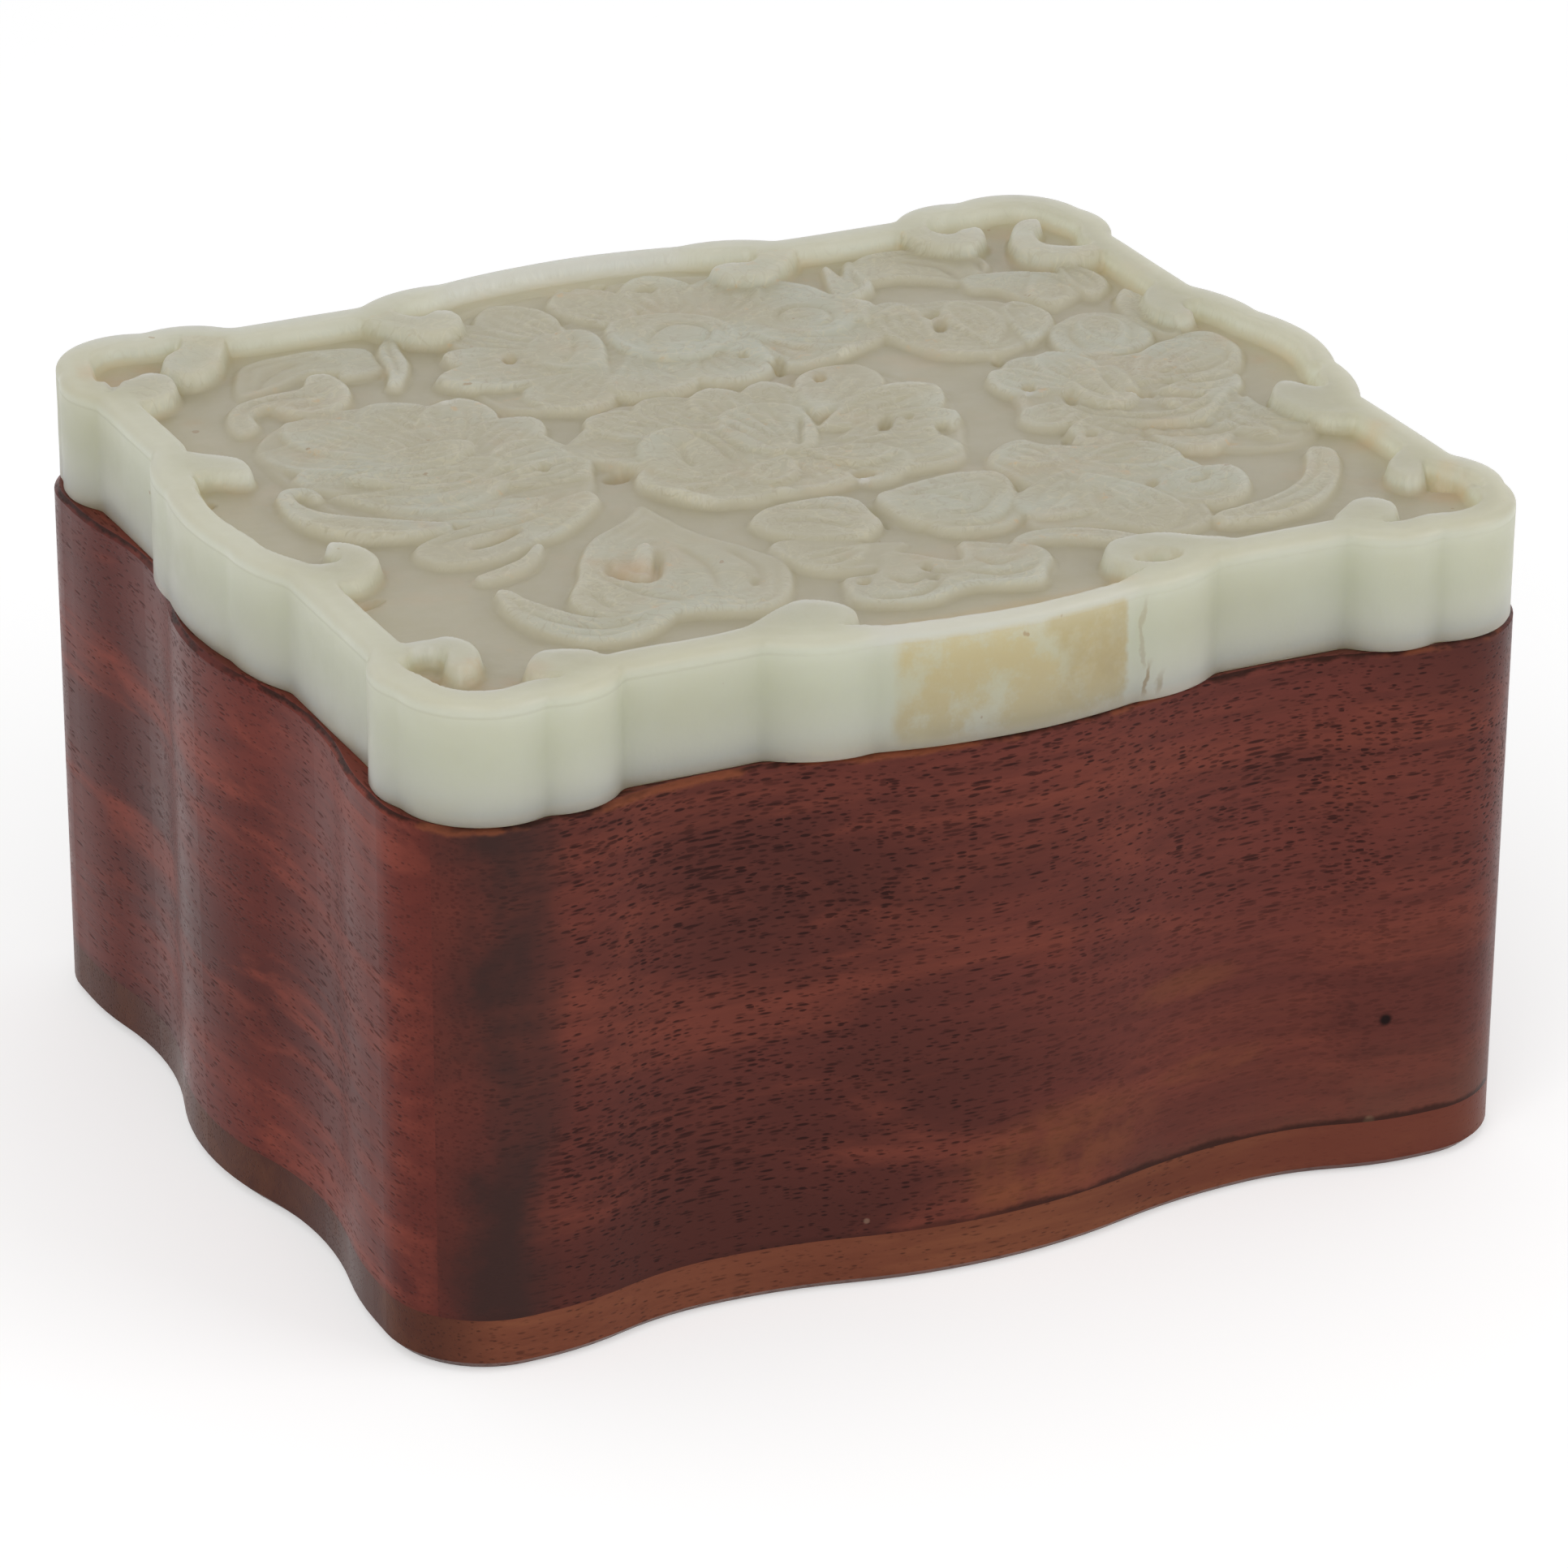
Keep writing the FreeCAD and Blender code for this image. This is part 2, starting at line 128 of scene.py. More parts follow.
def ring_normals(p):
    t = np.roll(p, -1, 0) - np.roll(p, 1, 0)
    t /= np.linalg.norm(t, axis=1)[:, None]
    n = np.stack([t[:, 1], -t[:, 0]], 1)
    if (n * p).sum() < 0:
        n = -n
    return n


raw = resample(jade_outline(), RAW_POINTS)
step = closed_length(raw)[-1] / RAW_POINTS
outline = resample(ring_smooth(raw, 0.42, step), OUTLINE_POINTS)
turns = np.linspace(0, 2 * np.pi, OUTLINE_POINTS, endpoint=False)
waves = ((5, 0.05, 0.3), (11, 0.05, 2.0), (23, 0.035, 4.1), (41, 0.02, 1.2))     # count, height, phase
wobble = sum(a * np.sin(k * turns + ph) for k, a, ph in waves)
outline = outline + ring_normals(outline) * (0.7 * wobble - 0.07)[:, None]

# ---- carving ----
# One height field, built up shape by shape from its floor, in mm from the top of the jade.
# x runs to the right and y to the back, from the middle of the lid. The lists below give
# all lengths in tenths of a millimetre, with the numbers of one point close together.

CELL = 0.3
REACH = 1.6                 # how far from its edge a shape still changes the field
HIGHEST = -0.12             # highest that a figure in the field may stand
gx = np.arange(-61.5, 61.5, CELL)
gy = np.arange(-52.5, 52.5, CELL)
GX, GY = np.meshgrid(gx, gy)


def soft(t):
    t = np.clip(t, 0, 1)
    return t * t * (3 - 2 * t)


def fall_off(d, width):
    """1 at distance 0 and less, down to 0 some widths away."""
    return np.exp(-(np.clip(d, 0, 9) / width) ** 2)


def blur(a, sigma):
    n = max(int(3 * sigma / CELL), 1)
    w = bell(n, sigma, CELL)
    pad = np.pad(a, n, mode="edge")
    pad = sum(wk * pad[:, k:k + a.shape[1]] for k, wk in enumerate(w))
    return sum(wk * pad[k:k + a.shape[0]] for k, wk in enumerate(w))


def between(g, i, j, u, v):
    """Value of grid g inside its cells i, j, at the shares u and v of the way across."""
    top = g[j, i] * (1 - u) + g[j, i + 1] * u
    low = g[j + 1, i] * (1 - u) + g[j + 1, i + 1] * u
    return top * (1 - v) + low * v


def noise(size, seed):
    """Smooth value noise on the carving grid, about -1 to 1, with lumps of the given size."""
    r = np.random.default_rng(seed)
    nx, ny = int(130 / size) + 3, int(110 / size) + 3
    g = r.uniform(-1, 1, (ny, nx))
    u, v = (GX + 63) / size, (GY + 54) / size
    i, j = u.astype(int), v.astype(int)
    return between(g, i, j, soft(u - i), soft(v - j))


MOVE = np.array((0.4, 0.85))     # the drawn figures sit a little low in the field


def placed(numbers, each=2):
    """Points in mm from a flat list in tenths of a mm, with `each` numbers to a point."""
    p = np.array(numbers, float).reshape(-1, each) / 10
    p[:, :2] += MOVE
    return p


def curve(p, closed, step=0.35):
    """Catmull-Rom line through control points of any dimension."""
    n = len(p)
    out = []
    for k in range(n if closed else n - 1):
        if closed:
            a, b, c, d = (p[(k + m) % n] for m in (-1, 0, 1, 2))
        else:
            a, b, c, d = p[max(k - 1, 0)], p[k], p[k + 1], p[min(k + 2, n - 1)]
        m = max(int(np.hypot(*(c - b)[:2]) / step), 2)
        t = (np.arange(m) / m)[:, None]
        out.append(0.5 * (2 * b + (c - a) * t + (2 * a - 5 * b + 4 * c - d) * t ** 2
                          + (3 * b - a - 3 * c + d) * t ** 3))
    if not closed:
        out.append(p[-1:])
    return np.concatenate(out)


def near(line, reach):
    """Part of the grid round a line."""
    lo, hi = line[:, :2].min(0) - reach, line[:, :2].max(0) + reach
    i0, i1 = np.searchsorted(gx, lo[0]), np.searchsorted(gx, hi[0])
    j0, j1 = np.searchsorted(gy, lo[1]), np.searchsorted(gy, hi[1])
    return np.s_[j0:j1, i0:i1]


def gap_to(line, closed, X, Y):
    """Distance to a line, and the share of its length where the nearest point lies."""
    best = np.full(X.shape, 1e9)
    at = np.zeros(X.shape)
    n = len(line)
    last = n if closed else n - 1
    for k in range(last):
        a, b = line[k, :2], line[(k + 1) % n, :2]
        d = b - a
        t = np.clip(((X - a[0]) * d[0] + (Y - a[1]) * d[1]) / (d @ d + 1e-12), 0, 1)
        q = (X - a[0] - t * d[0]) ** 2 + (Y - a[1] - t * d[1]) ** 2
        better = q < best
        best = np.where(better, q, best)
        at = np.where(better, (k + t) / last, at)
    return np.sqrt(best), at


def within(line, X, Y):
    """Where the grid lies inside a closed line."""
    inside = np.zeros(X.shape, bool)
    n = len(line)
    for k in range(n):
        (x0, y0), (x1, y1) = line[k, :2], line[(k + 1) % n, :2]
        if y0 != y1:
            inside ^= ((y0 > Y) != (y1 > Y)) & (X < (x1 - x0) * (Y - y0) / (y1 - y0) + x0)
    return inside


def depth_in(line):
    """The grid round a closed line, and the distance inside it, negative outside."""
    win = near(line, REACH)
    d, _ = gap_to(line, True, GX[win], GY[win])
    return win, np.where(within(line, GX[win], GY[win]), d, -d)


H = FIELD + 0.07 * noise(9, 1) + 0.05 * noise(3.5, 2)
fig = np.zeros_like(H)      # 1 on the figures, 0 on the floor
# pale is painted light: a lighter colour on the thin edges of petals and leaves
pale = np.zeros_like(H)     # thin lit edges of petals and leaves
earth = np.zeros_like(H)    # old dirt that stayed in holes and corners
shape_count = 0


def lay(win, d, top, ditch=0.5, lean=None):
    """Put a raised shape on the field. d is the distance inside its edge. The tops were
    drawn for a field 2.15 mm deep and stand at 0.6 of that."""
    global shape_count
    shape_count += 1
    r = np.random.default_rng(100 + shape_count)
    sx, sy = r.uniform(-0.035, 0.035, 2) if lean is None else lean
    X, Y = GX[win], GY[win]
    m = d > 0
    cx, cy = (X[m].mean(), Y[m].mean()) if m.any() else (0, 0)
    face = FIELD + 0.6 * (top / 10 + 2.15) + sx * (X - cx) + sy * (Y - cy)
    lip = 0.06 * np.exp(-((d - 0.65) / 0.4) ** 2)
    face = face - 0.16 * (1 - np.clip(d / 0.4, 0, 1)) ** 2 + lip
    ripple = np.cos(2 * np.pi * (d - 0.65) / (1.15 + 0.4 * r.random())) * soft(d / 0.5)
    ripple = ripple * soft(0.5 + noise(6, 70 + shape_count)[win])
    face = face + 0.055 * ripple
    H[win] -= ditch / 10 * fall_off(-d, 0.5) * (d <= 0)
    s = soft(d / 0.4 + 0.5)
    H[win] = H[win] * (1 - s) + np.minimum(face, HIGHEST) * s
    fig[win] = np.maximum(fig[win], s)
    # painted highlight along the edge of the shape and on its ripples
    edge_line = fall_off(d - 0.1, 0.35) * r.uniform(0.2, 1.0)
    pale[win] = pale[win] * (1 - s) + s * np.maximum(edge_line, 0.4 * np.clip(ripple, 0, 1))


def blob(top, *points, **kw):
    """Flat shape inside a closed line."""
    lay(*depth_in(curve(placed(points), True)), top, **kw)


def petal(top, x0, y0, x1, y1, width, bend=0.0, veins=3, full=0.62):
    """Petal from root to tip, widest at the share `full` of its length."""
    root, tip = placed((x0, y0, x1, y1))
    axis = tip - root
    length = np.hypot(*axis)
    axis /= length
    side = np.array((-axis[1], axis[0]))
    t = np.linspace(0, 1, 26)
    mid = root + np.outer(t * length, axis) + np.outer(bend * length * 4 * t * (1 - t), side)
    w = width / 20 * np.sin(np.pi * t ** (math.log(0.5) / math.log(full))) ** 0.62
    line = np.concatenate([mid + side * w[:, None], (mid - side * w[:, None])[::-1]])
    line = line[np.linalg.norm(np.roll(line, 1, 0) - line, axis=1) > 0.02]
    lay(*depth_in(line), top)
    # veins that stop short of the root and the tip
    for k in range(veins):
        off = (k + 0.5) / veins * 2 - 1
        cut(mid[3:22] + side * (w[3:22] * off * 0.72)[:, None], 0.22, 0.18)


def stroke(top, *points, ridge=False, **kw):
    """Tendril through points of x, y and half width."""
    line = curve(placed(points, 3), False)
    win = near(line, line[:, 2].max() + REACH)
    d, at = gap_to(line, False, GX[win], GY[win])
    half = np.interp(at, np.linspace(0, 1, len(line)), line[:, 2])
    lay(win, half - d, top, **kw)
    if ridge:
        cut(line[2:-2, :2], 0.3, 0.24)


def cut(line, width, depth):
    """Cut line that fades out at both ends."""
    win = near(line, 3 * width)
    d, at = gap_to(line, False, GX[win], GY[win])
    H[win] -= depth * np.exp(-(d / width) ** 2) * soft(4 * at) * soft(4 * (1 - at))


def groove(width, depth, *points):
    """Line bent through its points, or straight where there are only two."""
    p = placed(points)
    cut(curve(p, False) if len(p) > 2 else p, width / 10, depth / 10)


def hole(x, y, long_r, short_r, turn, depth):
    """Oval pit, with its long side turned by `turn` degrees. Dirt stays in the deep ones."""
    c, s = math.cos(math.radians(turn)), math.sin(math.radians(turn))
    x, y = placed((x, y))[0]
    long_r, short_r, depth = long_r / 10, short_r / 10, depth / 10
    win = near(np.array([[x, y]]), long_r + 1.5)
    u = (GX[win] - x) * c + (GY[win] - y) * s
    v = -(GX[win] - x) * s + (GY[win] - y) * c
    q = np.hypot(u / long_r, v / short_r)
    H[win] = np.maximum(H[win] - depth * soft((1.25 - q) / 0.45), FIELD - 1.3)
    if depth > 1.1:
        earth[win] = np.maximum(earth[win], 0.4 * soft((1.5 - q) / 0.8))


def several(make):
    """The same call for each of many rows."""
    return lambda *rows: [make(*row) for row in rows]


petals, grooves, holes = several(petal), several(groove), several(hole)


# back left leaf and stem
blob(-11.5, -425,310, -410,360, -385,393, -320,398, -265,380, -268,335, -300,323, -340,336, -380,318)
blob(-9.5, -315,315, -305,350, -320,380, -300,390, -270,375, -265,330, -280,312)
groove(3.5, 3, -405,315, -375,355, -335,375)
stroke(-7, -228,395,7, -243,365,12, -250,330,13, -260,300,10, -275,275,8, ridge=True)
# left flower: lower bowl and crescent
blob(-12, -465,60, -455,0, -420,-60, -350,-100, -280,-100, -220,-65, -188,5, -195,80, -220,140, -270,200,
    -330,230, -410,225, -460,180, -470,120)
petals((-8.5, -320,40, -460,85, 90, 0.03, 4), (-7.5, -330,50, -462,165, 85, 0, 5),
    (-6, -330,70, -415,220, 85, 0, 5), (-8, -300,80, -320,235, 90, -0.05, 4),
    (-7, -290,80, -235,210, 80, 0, 4), (-8.5, -290,50, -188,135, 75, 0.05, 4), (-6, -290,30, -189,60, 75),
    (-7, -310,0, -180,15, 60, -0.12), (-9.5, -400,-40, -200,-35, 65, -0.16),
    (-8, -420,-20, -260,-65, 55, -0.16, 2), (-5.5, -445,30, -280,-15, 75, -0.15, 2),
    (-4, -420,60, -260,40, 75, -0.12), (-3, -380,95, -270,90, 55, -0.08))
holes((-389,-77, 15, 7, 28, 12), (-234,8, 8, 5, 70, 7))
stroke(-5, -456,32,6, -462,50,8, -481,49,9, -487,18,11, -480,-18,18, -456,-49,23, -420,-72,21,
    -382,-88,13, lean=(0, 0))
# curl over the left flower
blob(-7, -462,215, -460,255, -438,288, -400,298, -366,300, -348,324, -327,320, -319,290, -328,256, -352,230,
    -382,227, -402,246, -412,266, -430,256, -436,226)
grooves((3.5, 2.5, -445,240, -425,278, -390,284, -360,275, -345,302), (3, 2, -385,248, -360,255, -346,275))
# back flower
blob(-11.5, -210,190, -183,153, -130,139, -104,154, -80,147, -45,129, -6,153, 40,136, 80,173, 120,155,
    170,163, 238,205, 256,255, 225,310, 210,360, 150,420, 80,450, -60,455, -130,435, -185,370, -205,310)
petals((-9.5, -90,290, -175,395, 80, 0, 4), (-8.5, -70,300, -105,438, 85, 0.05, 4),
    (-9, 0,310, -15,453, 85, 0, 4), (-8.5, 40,310, 75,448, 85, -0.04, 4), (-9, 80,290, 155,415, 85, 0, 4),
    (-9, -60,250, -205,323, 70, 0.06), (-7.5, -50,240, -238,262, 80, 0, 4),
    (-8, -60,240, -165,145, 95, 0, 4, 0.7), (-6.5, -35,260, -56,133, 95, 0.05, 4, 0.72),
    (-8, 45,250, 42,137, 90, -0.04, 4, 0.72), (-9, 100,240, 145,155, 85, 0, 3, 0.7),
    (-7, 90,250, 235,202, 75, -0.08))
blob(-5.5, 122,270, 135,312, 180,323, 217,297, 220,252, 188,216, 147,224)
groove(3.2, 3.5, 150,240, 143,278, 168,300, 196,283, 194,252, 173,242, 166,266)
blob(-5, -125,300, -90,335, -45,324, -46,278, -73,230, -110,235, -130,266)
groove(3.2, 3, -62,320, -83,275, -108,248)
blob(-3.5, -36,290, -18,333, 32,342, 78,316, 93,270, 65,226, 12,210, -28,238)
grooves((3, 3.5, -16,245, 8,285, 42,305, 67,278, 46,248, 20,262), (3, 2.5, 46,218, 74,250, 80,290),
    (3, 3, -35,410, -60,355, -90,325))
holes((-145,289, 10.5, 5.5, 60, 17), (-246,218, 10, 8, 90, 13), (69,200, 7, 4.5, 70, 8),
    (-10,454, 10, 7, 60, 8), (26,452, 10, 6, 60, 7), (92,166, 15, 5.5, 65, 8))
# middle flower
blob(-12, -196,40, -165,80, -135,110, -100,134, -55,124, -10,132, 20,94, 52,123, 88,134, 140,145, 180,110,
    195,60, 210,30, 195,-30, 170,-80, 136,-138, 60,-140, -30,-146, -125,-138, -167,-80, -156,-30)
petals((-9, -50,0, -194,50, 85, 0.05, 4), (-7, -45,10, -148,108, 80), (-8, -30,10, -76,133, 85, 0, 5),
    (-6, -5,10, -5,132, 70, 0.05, 4), (-7.5, 20,0, 52,125, 70, -0.02, 4), (-8.5, 60,20, 165,138, 90, 0.02))
hole(111,115, 10, 5, 62, 17)
petals((-6, 45,-10, 206,46, 85, -0.04), (-8, 50,-40, 193,-26, 75), (-9.5, 30,-60, 158,-105, 80, 0.02),
    (-9, 20,-70, 82,-140, 90, 0, 4, 0.7), (-9.5, -10,-70, -25,-147, 95, 0, 4, 0.7),
    (-8.5, -50,-60, -118,-137, 90, 0, 4, 0.7), (-8, -50,-30, -170,-75, 80, 0.05))
blob(-6, -146,-28, -126,26, -85,48, -52,22, -47,-34, -64,-82, -104,-90, -138,-66)
grooves((3.5, 4, -101,-56, -103,-26, -88,12), (3, 3.5, -74,44, -61,0, -62,-50))
blob(-4, -44,15, -22,62, 25,73, 54,46, 48,-6, 20,-54, -16,-56, -40,-30)
for x0, y0, x1, y1 in ((-36,46, -14,-44), (-19,62, -5,-46), (2,66, 1,-48), (22,58, 6,-49)):
    groove(2.4, 3, x0, y0, (x0 + x1) / 2 + 4, (y0 + y1) / 2, x1, y1)
groove(2.6, 7, 46,24, 27,-12, 9,-48)
petals((-5.5, 5,-55, 94,-94, 55, -0.1, 2), (-6, -10,-60, -62,-118, 50, 0, 2))
holes((114,-22, 19, 6, 58, 10), (142,-18, 6, 4, 60, 6), (160,-56, 11, 7, 60, 9), (37,-131, 9, 8, 0, 13),
    (-173,-26, 14, 10, 30, 9))
# right lotus
blob(-11.5, 265,20, 255,-30, 234,-78, 275,-106, 306,-148, 355,-196, 395,-226, 445,-238, 488,-212, 483,-170,
    466,-120, 475,-60, 506,-30, 530,15, 525,60, 495,72, 455,54, 410,44, 360,68, 315,82, 285,66)
petals((-9, 340,-80, 265,-170, 75), (-9.5, 360,-90, 368,-218, 85, 0.05, 4),
    (-8, 380,-80, 465,-228, 75, 0.06, 4), (-8.5, 320,-50, 236,-86, 60, 0, 2),
    (-6, 335,-30, 265,55, 65, 0.1), (-5.5, 345,-40, 342,80, 65, 0, 4), (-7.5, 380,-35, 527,35, 95, 0.02, 4),
    (-6, 390,-60, 492,-42, 60, -0.16, 2))
stroke(-5.5, 296,-25,7, 303,-70,13, 332,-112,17, 378,-132,18, 420,-114,15, 448,-88,8, ridge=True)
blob(-4, 316,-58, 324,-8, 350,16, 387,18, 386,-26, 372,-62, 344,-86)
grooves((3, 3, 331,4, 333,-30, 343,-66), (2.8, 3.5, 367,10, 360,-24, 356,-62))
stroke(-7.5, 463,-115,6, 459,-153,10, 468,-195,10, 495,-204,6)
stroke(-7, 436,-122,7, 422,-162,13, 438,-200,10, ridge=True)
grooves((3, 3, 296,-64, 316,-114, 356,-148, 404,-156, 448,-132),
    (3, 3, 284,-92, 314,-140, 364,-174, 420,-176, 458,-154),
    (3, 3, 310,-36, 318,-82, 348,-116, 388,-124, 432,-106), (3, 3, 396,-24, 436,-54, 478,-52, 510,-22),
    (3, 3, 408,-4, 450,-26, 494,-14, 520,24))
holes((282,-1, 9.5, 5, 70, 16), (306,-44, 12, 4, 80, 9), (376,-57, 12, 6, -35, 12), (259,-128, 9, 5, 70, 9),
    (281,-133, 7, 5, 50, 7))
# leaves at the back right
blob(-10.5, 273,336, 274,375, 305,408, 370,405, 412,375, 416,335, 386,308, 360,298, 340,315, 308,332)
grooves((3.5, 3.5, 365,310, 363,350, 325,382), (3.5, 3.5, 396,316, 410,356))
stroke(-6, 282,396,6, 269,360,12, 258,326,17, 232,306,12, ridge=True)
stroke(-7.5, 253,390,5, 246,355,10, 234,318,10)
blob(-10, 360,275, 365,304, 394,310, 444,292, 473,262, 468,226, 436,202, 410,193, 394,226, 384,260)
petals((-7, 440,288, 413,198, 50, 0.08), (-7.5, 470,315, 468,204, 46, 0.1, 2))
blob(-10.5, 224,180, 226,236, 256,276, 294,262, 330,258, 375,236, 386,198, 368,153, 340,112, 295,102,
    248,124)
petals((-7.5, 250,125, 268,262, 60, 0.08), (-7, 305,115, 325,250, 60, -0.05),
    (-8.5, 342,110, 383,228, 52, -0.08))
blob(-8.5, 363,58, 366,114, 392,150, 430,166, 467,146, 474,102, 453,62, 410,46)
petal(-6, 415,56, 435,156, 55, 0, 4)
groove(3, 3, 383,68, 388,110, 406,140)
blob(-9.5, 472,82, 466,130, 476,180, 502,206, 513,150, 506,92, 490,69)
holes((284,192, 15, 6, 60, 9), (289,224, 13, 5, 30, 8), (298,93, 9, 5, 70, 7))
# bud and tendrils at the left front
blob(-9.5, -424,-122, -403,-106, -360,-93, -310,-93, -265,-74, -223,-60, -216,-84, -242,-114, -282,-146,
    -314,-156, -360,-176, -406,-172, -428,-148)
groove(4.5, 9, -370,-140, -342,-132, -313,-116)
hole(-350,-133, 24, 5.5, 22, 9)
groove(2.8, 2.5, -410,-130, -380,-114, -320,-107, -270,-94)
stroke(-9.5, -390,-211,11, -364,-204,12, -336,-188,9, -316,-164,6)
# front left leaf with its eye
blob(-9.5, -186,-106, -215,-134, -265,-168, -296,-210, -316,-250, -344,-294, -342,-336, -310,-364,
    -260,-366, -234,-373, -200,-386, -166,-377, -136,-334, -124,-290, -137,-246, -162,-200, -176,-146)
groove(5, 8.5, -266,-226, -282,-250, -266,-279, -249,-274, -230,-240, -218,-214)
stroke(-5.5, -254,-254,9, -242,-234,9, -229,-210,6, ditch=1)
grooves((3, 3, -325,-290, -317,-336), (3, 3, -298,-246, -278,-310, -242,-346),
    (3, 2.8, -202,-210, -194,-270, -212,-334), (3, 2.5, -163,-234, -154,-290, -176,-350))
hole(-172,-325, 9, 4, 60, 4)
blob(-6, -396,-247, -382,-255, -377,-277, -364,-305, -350,-330, -334,-346, -310,-352, -277,-344, -256,-342,
    -265,-361, -288,-381, -313,-393, -340,-398, -369,-386, -392,-356, -405,-322, -406,-283, lean=(0, 0))
grooves((3.2, 3, -392,-266, -389,-308, -370,-344, -346,-366, -316,-368, -284,-356),
    (2.8, 2.4, -399,-284, -399,-324, -379,-362, -350,-382, -316,-382))
# pair of petals in the middle of the front
blob(-12, -126,-260, -96,-246, -30,-280, 0,-294, -16,-310, -38,-340, -76,-340, -114,-322)
petal(-9.5, -35,-286, -122,-306, 50, 0.1, 2)
blob(-7.5, -116,-198, -90,-171, -50,-167, -12,-173, 5,-202, 1,-244, -32,-273, -70,-263,
    -104,-238, lean=(0.02, 0))
grooves((3, 2.2, -96,-204, -60,-220, -34,-256), (3, 2, -76,-182, -36,-196, -12,-236))
blob(-10, 32,-270, 50,-298, 94,-306, 128,-286, 150,-250, 140,-210, 80,-240)
blob(-6.5, 20,-188, 48,-178, 78,-172, 113,-169, 149,-180, 155,-208, 136,-248, 106,-281, 80,-288, 48,-280,
    21,-262, 16,-222, lean=(0, 0.01))
grooves((3, 2.2, 36,-196, 76,-210, 98,-252), (2.6, 3, 58,-256, 92,-261, 123,-232, 134,-204),
    (4, 12, 7.5,-192, 4.5,-220, 2,-252))
# bud at the front
blob(-9.5, -104,-372, -92,-349, -62,-350, -36,-312, -16,-314, 16,-353, 28,-350, 43,-316, 74,-334, 104,-356,
    104,-388, 86,-412, 69,-436, 39,-433, 6,-421, -16,-424, -40,-433, -72,-429, -108,-406)
grooves((3.5, 4, -100,-402, -66,-417, -32,-408, -6,-384), (3.5, 3.5, 12,-382, 44,-408, 82,-400),
    (3.2, 4, -60,-362, -42,-386, -10,-372, 4,-396), (3, 3, 36,-358, 48,-382, 76,-374))
holes((-81,-366, 6.5, 4.2, 50, 15), (-13,-359, 8, 4, 70, 9), (-18,-384, 8, 5, 40, 6))
stroke(-9, 75,-358,7, 105,-336,12, 142,-344,14, 172,-364,13, 194,-386,11)
# leaves at the front right
blob(-10.5, 154,-164, 174,-128, 212,-114, 246,-148, 300,-176, 316,-194, 334,-224, 338,-264, 306,-290,
    296,-334, 280,-374, 234,-384, 204,-358, 168,-336, 122,-320, 132,-276, 162,-230)
petals((-8.5, 220,-200, 134,-304, 85, 0.06), (-7, 225,-220, 232,-374, 90, 0, 4),
    (-9, 220,-190, 185,-126, 70), (-8, 230,-190, 336,-218, 75, 0.06))
blob(-7.5, 284,-262, 314,-252, 348,-256, 363,-266, 365,-289, 353,-318, 328,-338, 300,-340, 274,-316,
    268,-284)
grooves((3.5, 4, 332,-260, 326,-279, 302,-282), (3, 2.5, 292,-316, 324,-314, 346,-286))
hole(273,-268, 8, 5, 40, 7)
blob(-6, 445,-259, 458,-254, 472,-270, 461,-301, 435,-339, 405,-370, 373,-389, 340,-395, 308,-393, 280,-382,
    289,-362, 317,-356, 350,-349, 379,-336, 407,-316, 429,-287, lean=(0, 0))
grooves((3, 3, 452,-268, 432,-304, 402,-334, 366,-354, 326,-366),
    (3, 2.8, 464,-280, 440,-322, 406,-354, 366,-374, 324,-382))

# rim: worn flat band along the edge, narrow in the lobes
tree = KDTree(len(outline))
for k, (x, y) in enumerate(outline):
    tree.insert((x, y, 0), k)
tree.balance()
edge = np.zeros_like(H)     # distance inside the outline
for j, i in np.argwhere(within(outline, GX, GY)):
    edge[j, i] = tree.find((GX[j, i], GY[j, i], 0))[2]
lobe_x = soft((16.5 - np.abs(GX)) / 5) * (np.abs(GY) > 35)
lobe_y = soft((11.5 - np.abs(GY)) / 4) * (np.abs(GX) > 40)
rim_w = 3.55 - 1.7 * lobe_x - 0.5 * lobe_y + 0.12 * noise(5, 3)
d = rim_w - edge
face = -0.02 - 0.14 * (1 - np.clip(d / 0.6, 0, 1)) ** 2 + 0.015 * noise(4, 4)
H -= 0.08 * fall_off(-d, 0.6) * (d <= 0)
rimmed = soft(d / 0.7 + 0.5)
H = H * (1 - rimmed) + face * rimmed
fig = np.maximum(fig * (1 - rimmed), rimmed)
pale = pale * (1 - rimmed)
border = rimmed.copy()      # 1 on the rim and its scrolls


def hook(*points):
    """Scroll that grows out of the rim, by the outline of its flat top."""
    line = curve(placed(points), True)
    win, d = depth_in(line)
    H[win] -= 0.05 * fall_off(-d, 0.5) * (d <= 0) * (1 - rimmed[win])
    face = -0.05 - 0.14 * (1 - np.clip(d / 0.6, 0, 1)) ** 2
    s = soft(d / 0.55 + 0.5)
    H[win] = np.maximum(H[win], H[win] * (1 - s) + face * s)
    fig[win] = np.maximum(fig[win], s)
    pale[win] *= 1 - s
    colour = 0.35 if line[:, 1].mean() > 25 else 0.85     # those at the back are as grey as the field
    border[win] = np.maximum(border[win], s * colour)


MOVE = np.zeros(2)
hook(-570,190, -540,186, -516,164, -503,152, -490,137, -488,114, -494,100, -506,102, -525,114, -541,116,
    -570,106)
hook(-570,-110, -550,-117, -518,-136, -500,-128, -500,-94, -485,-94, -470,-111, -465,-142, -477,-168,
    -500,-185, -524,-189, -570,-196)
hook(-570,-310, -530,-334, -505,-337, -482,-338, -468,-356, -468,-381, -479,-404, -501,-412, -507,-392,
    -499,-369, -512,-357, -528,-361, -542,-376, -570,-380)
hook(-374,-428, -393,-410, -419,-403, -436,-412, -450,-434, -446,-452, -410,-470, -370,-470)
hook(-260,-445, -226,-426, -192,-406, -164,-396, -140,-408, -126,-432, -134,-456, -190,-480, -260,-470)
hook(265,-434, 244,-418, 212,-393, 185,-389, 156,-394, 137,-419, 138,-444, 156,-466, 200,-480, 260,-470)
hole(181,-444, 20, 12, -8, 16)
